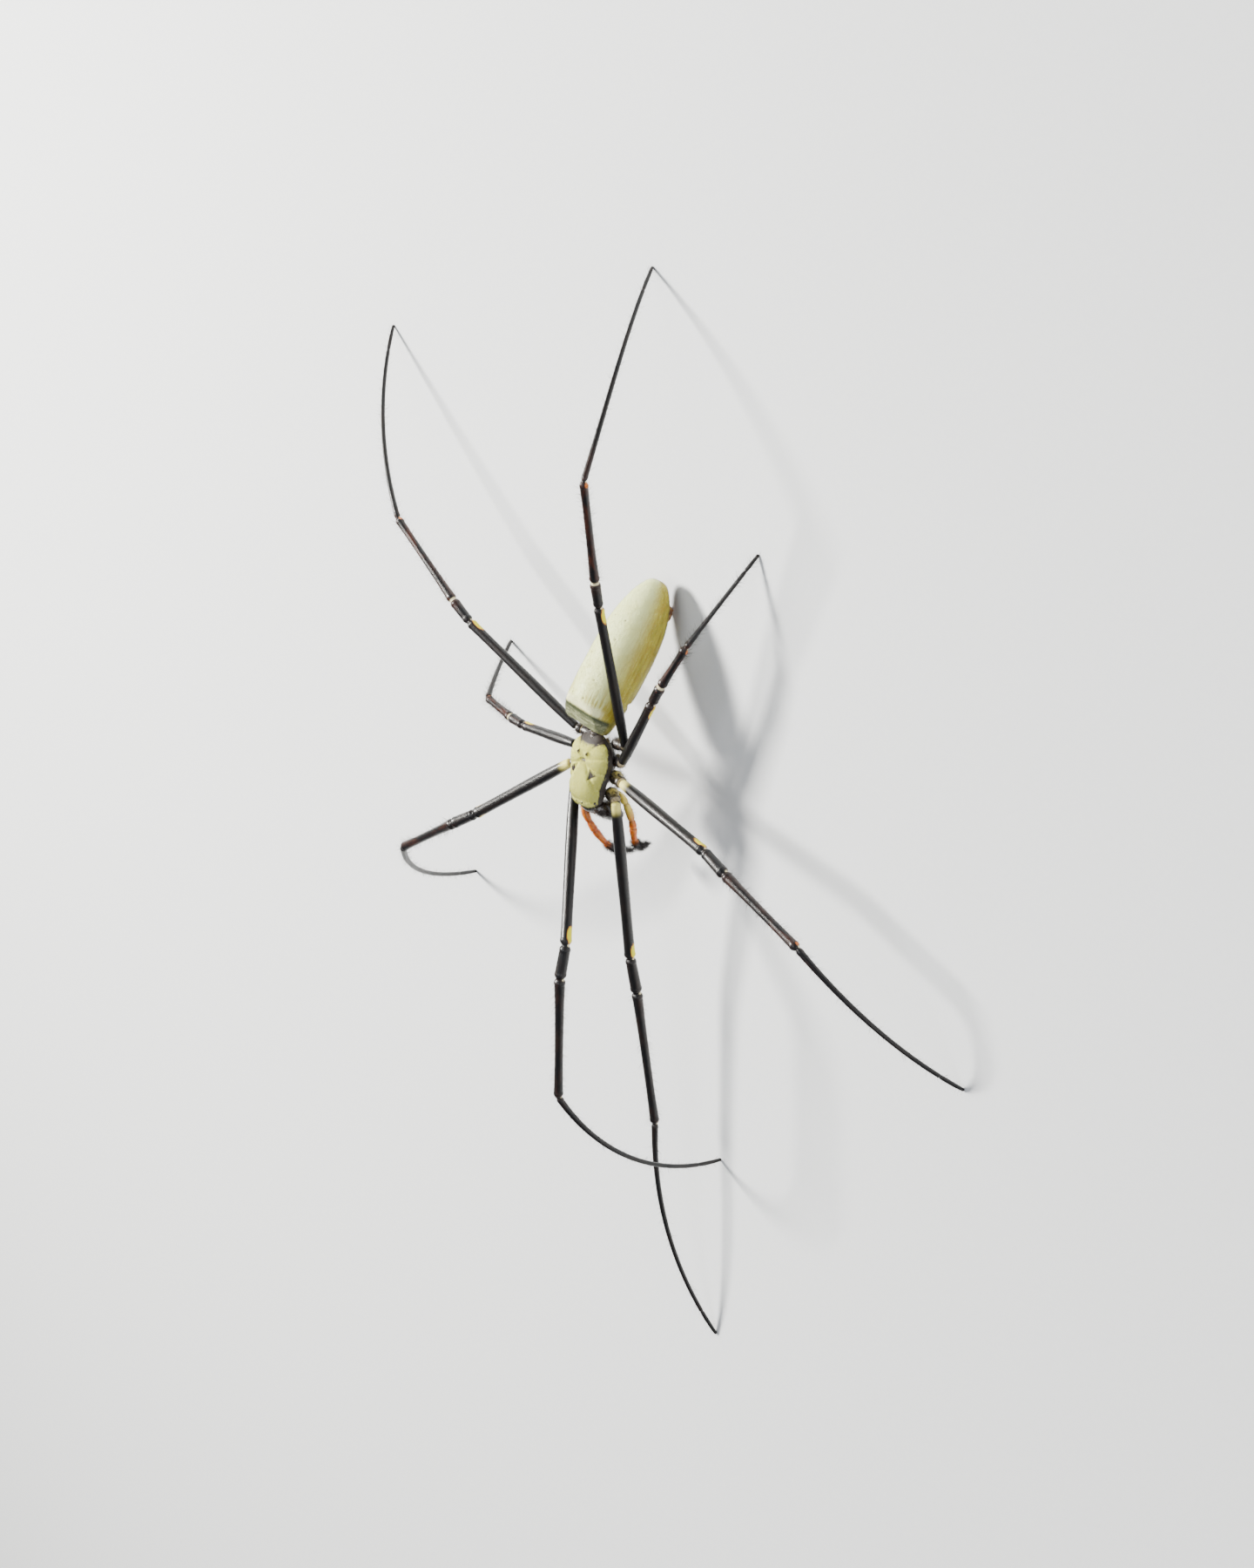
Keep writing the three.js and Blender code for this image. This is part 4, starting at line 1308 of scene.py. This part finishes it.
def curve_through(points, count):
    """Points at even distances along a smooth curve through the given ones: each number is a
    cubic through its values at the summed root distances between the points."""
    points = np.asarray(points, float)
    knots = np.concatenate([[0], np.cumsum(np.linalg.norm(np.diff(points, axis=0), axis=1) ** 0.5)])
    fine = np.linspace(0, knots[-1], 400)
    slope = np.gradient(points, knots, axis=0)
    k = np.clip(np.searchsorted(knots, fine, "right") - 1, 0, len(knots) - 2)
    gap = knots[k + 1] - knots[k]
    f = ((fine - knots[k]) / gap)[:, None]
    gap = gap[:, None]
    curve = (
        (2 * f**3 - 3 * f**2 + 1) * points[k] + (f**3 - 2 * f**2 + f) * gap * slope[k]
        + (3 * f**2 - 2 * f**3) * points[k + 1] + (f**3 - f**2) * gap * slope[k + 1]
    )
    distance = np.concatenate([[0], np.cumsum(np.linalg.norm(np.diff(curve, axis=0), axis=1))])
    return read_along(curve, distance, np.linspace(0, distance[-1], count))


def tube(line, radius, around):
    """Rings round a line: the side vector is level, across the line's heading."""
    forward = unit(np.gradient(line, axis=0))
    side = unit(np.cross(forward, [0.3, 0.05, 1]))
    return rings_round(line, side, np.cross(side, forward), radius, around)


palp_look = Look("palp_shell", {"Specular IOR Level": 0.5, "Coat Roughness": 0.2})
palp_place = palp_look.vector("place")
palp_cloud = palp_look.noise(palp_place, 1.4, 3)
palp_t = palp_look.number("t")
palp_colour = palp_look.painted(
    (0.56, 0.09, 0.004),
    (palp_cloud.between(0.35, 0.7), (0.74, 0.2, 0.008)),
    ((1 - palp_t.between(0.2, 0.5)) * palp_look.number("yellow"), (0.78, 0.6, 0.1)),
    (palp_look.number("soft"), (0.16, 0.035, 0.015)),
    (palp_t.between(0.68, 0.76), (0.012, 0.01, 0.009)),
)
palp_look.feed(
    Base_Color=palp_colour,
    Roughness=0.3 + palp_cloud * 0.2,
    Coat_Weight=0.3 + palp_cloud * 0.1,
)
palp_look.bump(palp_look.noise(palp_place, 6, 4), 0.00004)
for side, mirror in mirrors.items():
    line = body.points(curve_through(mirrored(palp_paths[side], side), 170))
    t = np.linspace(0, 1, 170)
    neck = sum(bell(t - j, 0.012) for j in palp_joints)
    collar = sum(bell(np.abs(t - j) - 0.03, 0.012) for j in palp_joints)
    radius = palp_radius * along(palp_profile, t) * (1 - 0.14 * neck + 0.03 * collar)
    rings = tube(line, radius * round_ends(t, 0.02, 0.03), palp_around)
    flat = np.ones(palp_around)[None]
    marks = {
        "place": rings,
        "t": t[:, None] * flat,
        "soft": 0.45 * np.clip(neck, 0, 1)[:, None] * flat,
        "yellow": (1 if side == "left" else 0.15) * np.ones(rings.shape[:2]),
    }
    make_skin(f"{side}_palp_shell", rings, palp_look, [f"{side}_palp"], marks)
    weight = (0.25 + 2.5 * (t > 0.68))[:, None] * flat
    make_coat(
        f"{side}_palp_hair", rings, 1600, dark_hair, "palp", 140 + mirror, weight,
        length=(0.35, 0.8), **bristle,
    )

# %% [markdown]
# The jaws are two stout black bases, hard and polished, with a fang folded against each. A
# stretched ball would be round all over. A tube along a straight line, with a radius that
# bulges near the top, keeps the blunt upper end, and the fang is a tube along a bent path.

# %% Jaws and fangs
jaw_look = Look("jaw_shell", {"Specular IOR Level": 0.6, "Coat Roughness": 0.12})
jaw_place = jaw_look.here()
jaw_grain = jaw_look.noise(jaw_place, 2500, 4)
jaw_look.feed(
    Base_Color=jaw_look.mix(jaw_grain, (0.006, 0.005, 0.005), (0.03, 0.016, 0.01)),
    Roughness=0.2 + jaw_grain * 0.16,
    Coat_Weight=0.45 + jaw_grain * 0.1,
)
jaw_look.bump(jaw_look.noise(jaw_place, 7000, 4), 0.00003)
jaw_top = (1.57, -6.25, -0.1)
jaw_aim = (0.01, -0.42, -1)
jaw_length = 5.3
jaw_radius = 1.4
fang_radius = 0.3
fang_path = [(1.8, -8.3, -4.6), (1.65, -8.45, -5.45), (1.05, -8, -5.8), (0.45, -7.4, -5.6)]
for side, mirror in mirrors.items():
    top = body.points(mirrored(jaw_top, side))
    aim = unit(body.directions(mirrored(jaw_aim, side)))
    t = np.linspace(0, 1, 80)
    line = top + aim * (t * jaw_length)[:, None]
    bulge = along([0.7, 0.98, 1, 0.9, 0.66], t) * jaw_radius
    jaw_rings = tube(line, bulge * round_ends(t, 0.1, 0.12), 44)
    make_skin(f"{side}_jaw", jaw_rings, jaw_look, [f"{side}_chelicera"])
    fang_line = body.points(curve_through(mirrored(fang_path, side), 40))
    fang_t = np.linspace(0, 1, 40)
    fang_rings = tube(fang_line, fang_radius * (1 - fang_t**2 * 0.93), 20)
    make_skin(f"{side}_fang", fang_rings, claw_look)
    make_coat(
        f"{side}_jaw_hair", jaw_rings, 500, dark_hair, "jaw", 150 + mirror,
        length=(0.3, 0.7), **bristle,
    )

# %% [markdown]
# The abdomen only looks bare. A thin coat of very short hair lies back over it and softens
# its edge. Hair of one colour would grey the pattern, so each takes the colour of its root.

# %% The abdomen's short hair
down = Look("abdomen_down", {"Specular IOR Level": 0.2})
down_each = down.number("shade")
down.feed(
    Base_Color=down.mix(down_each * 0.3, abdomen_colours(down), (0.84, 0.86, 0.46)),
    Roughness=0.45 + down_each * 0.15,
)
make_coat(
    "abdomen_down", abdomen_rings, 16000, down, "abdomen", 7,
    lift=0.3, length=(0.22, 0.4), radius=0.008, bend=0.4, spread=0.25, steps=1, marks=abdomen_marks,
)

# %% [markdown]
# The last step measures the box of the finished model, with the floor left out, and prints it.
# Hair may reach a little past the solids, but nothing may reach below the floor.

# %% Sizes, and the end
low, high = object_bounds()
print("visual box (m):", [round(v, 4) for v in (*low, *high)])
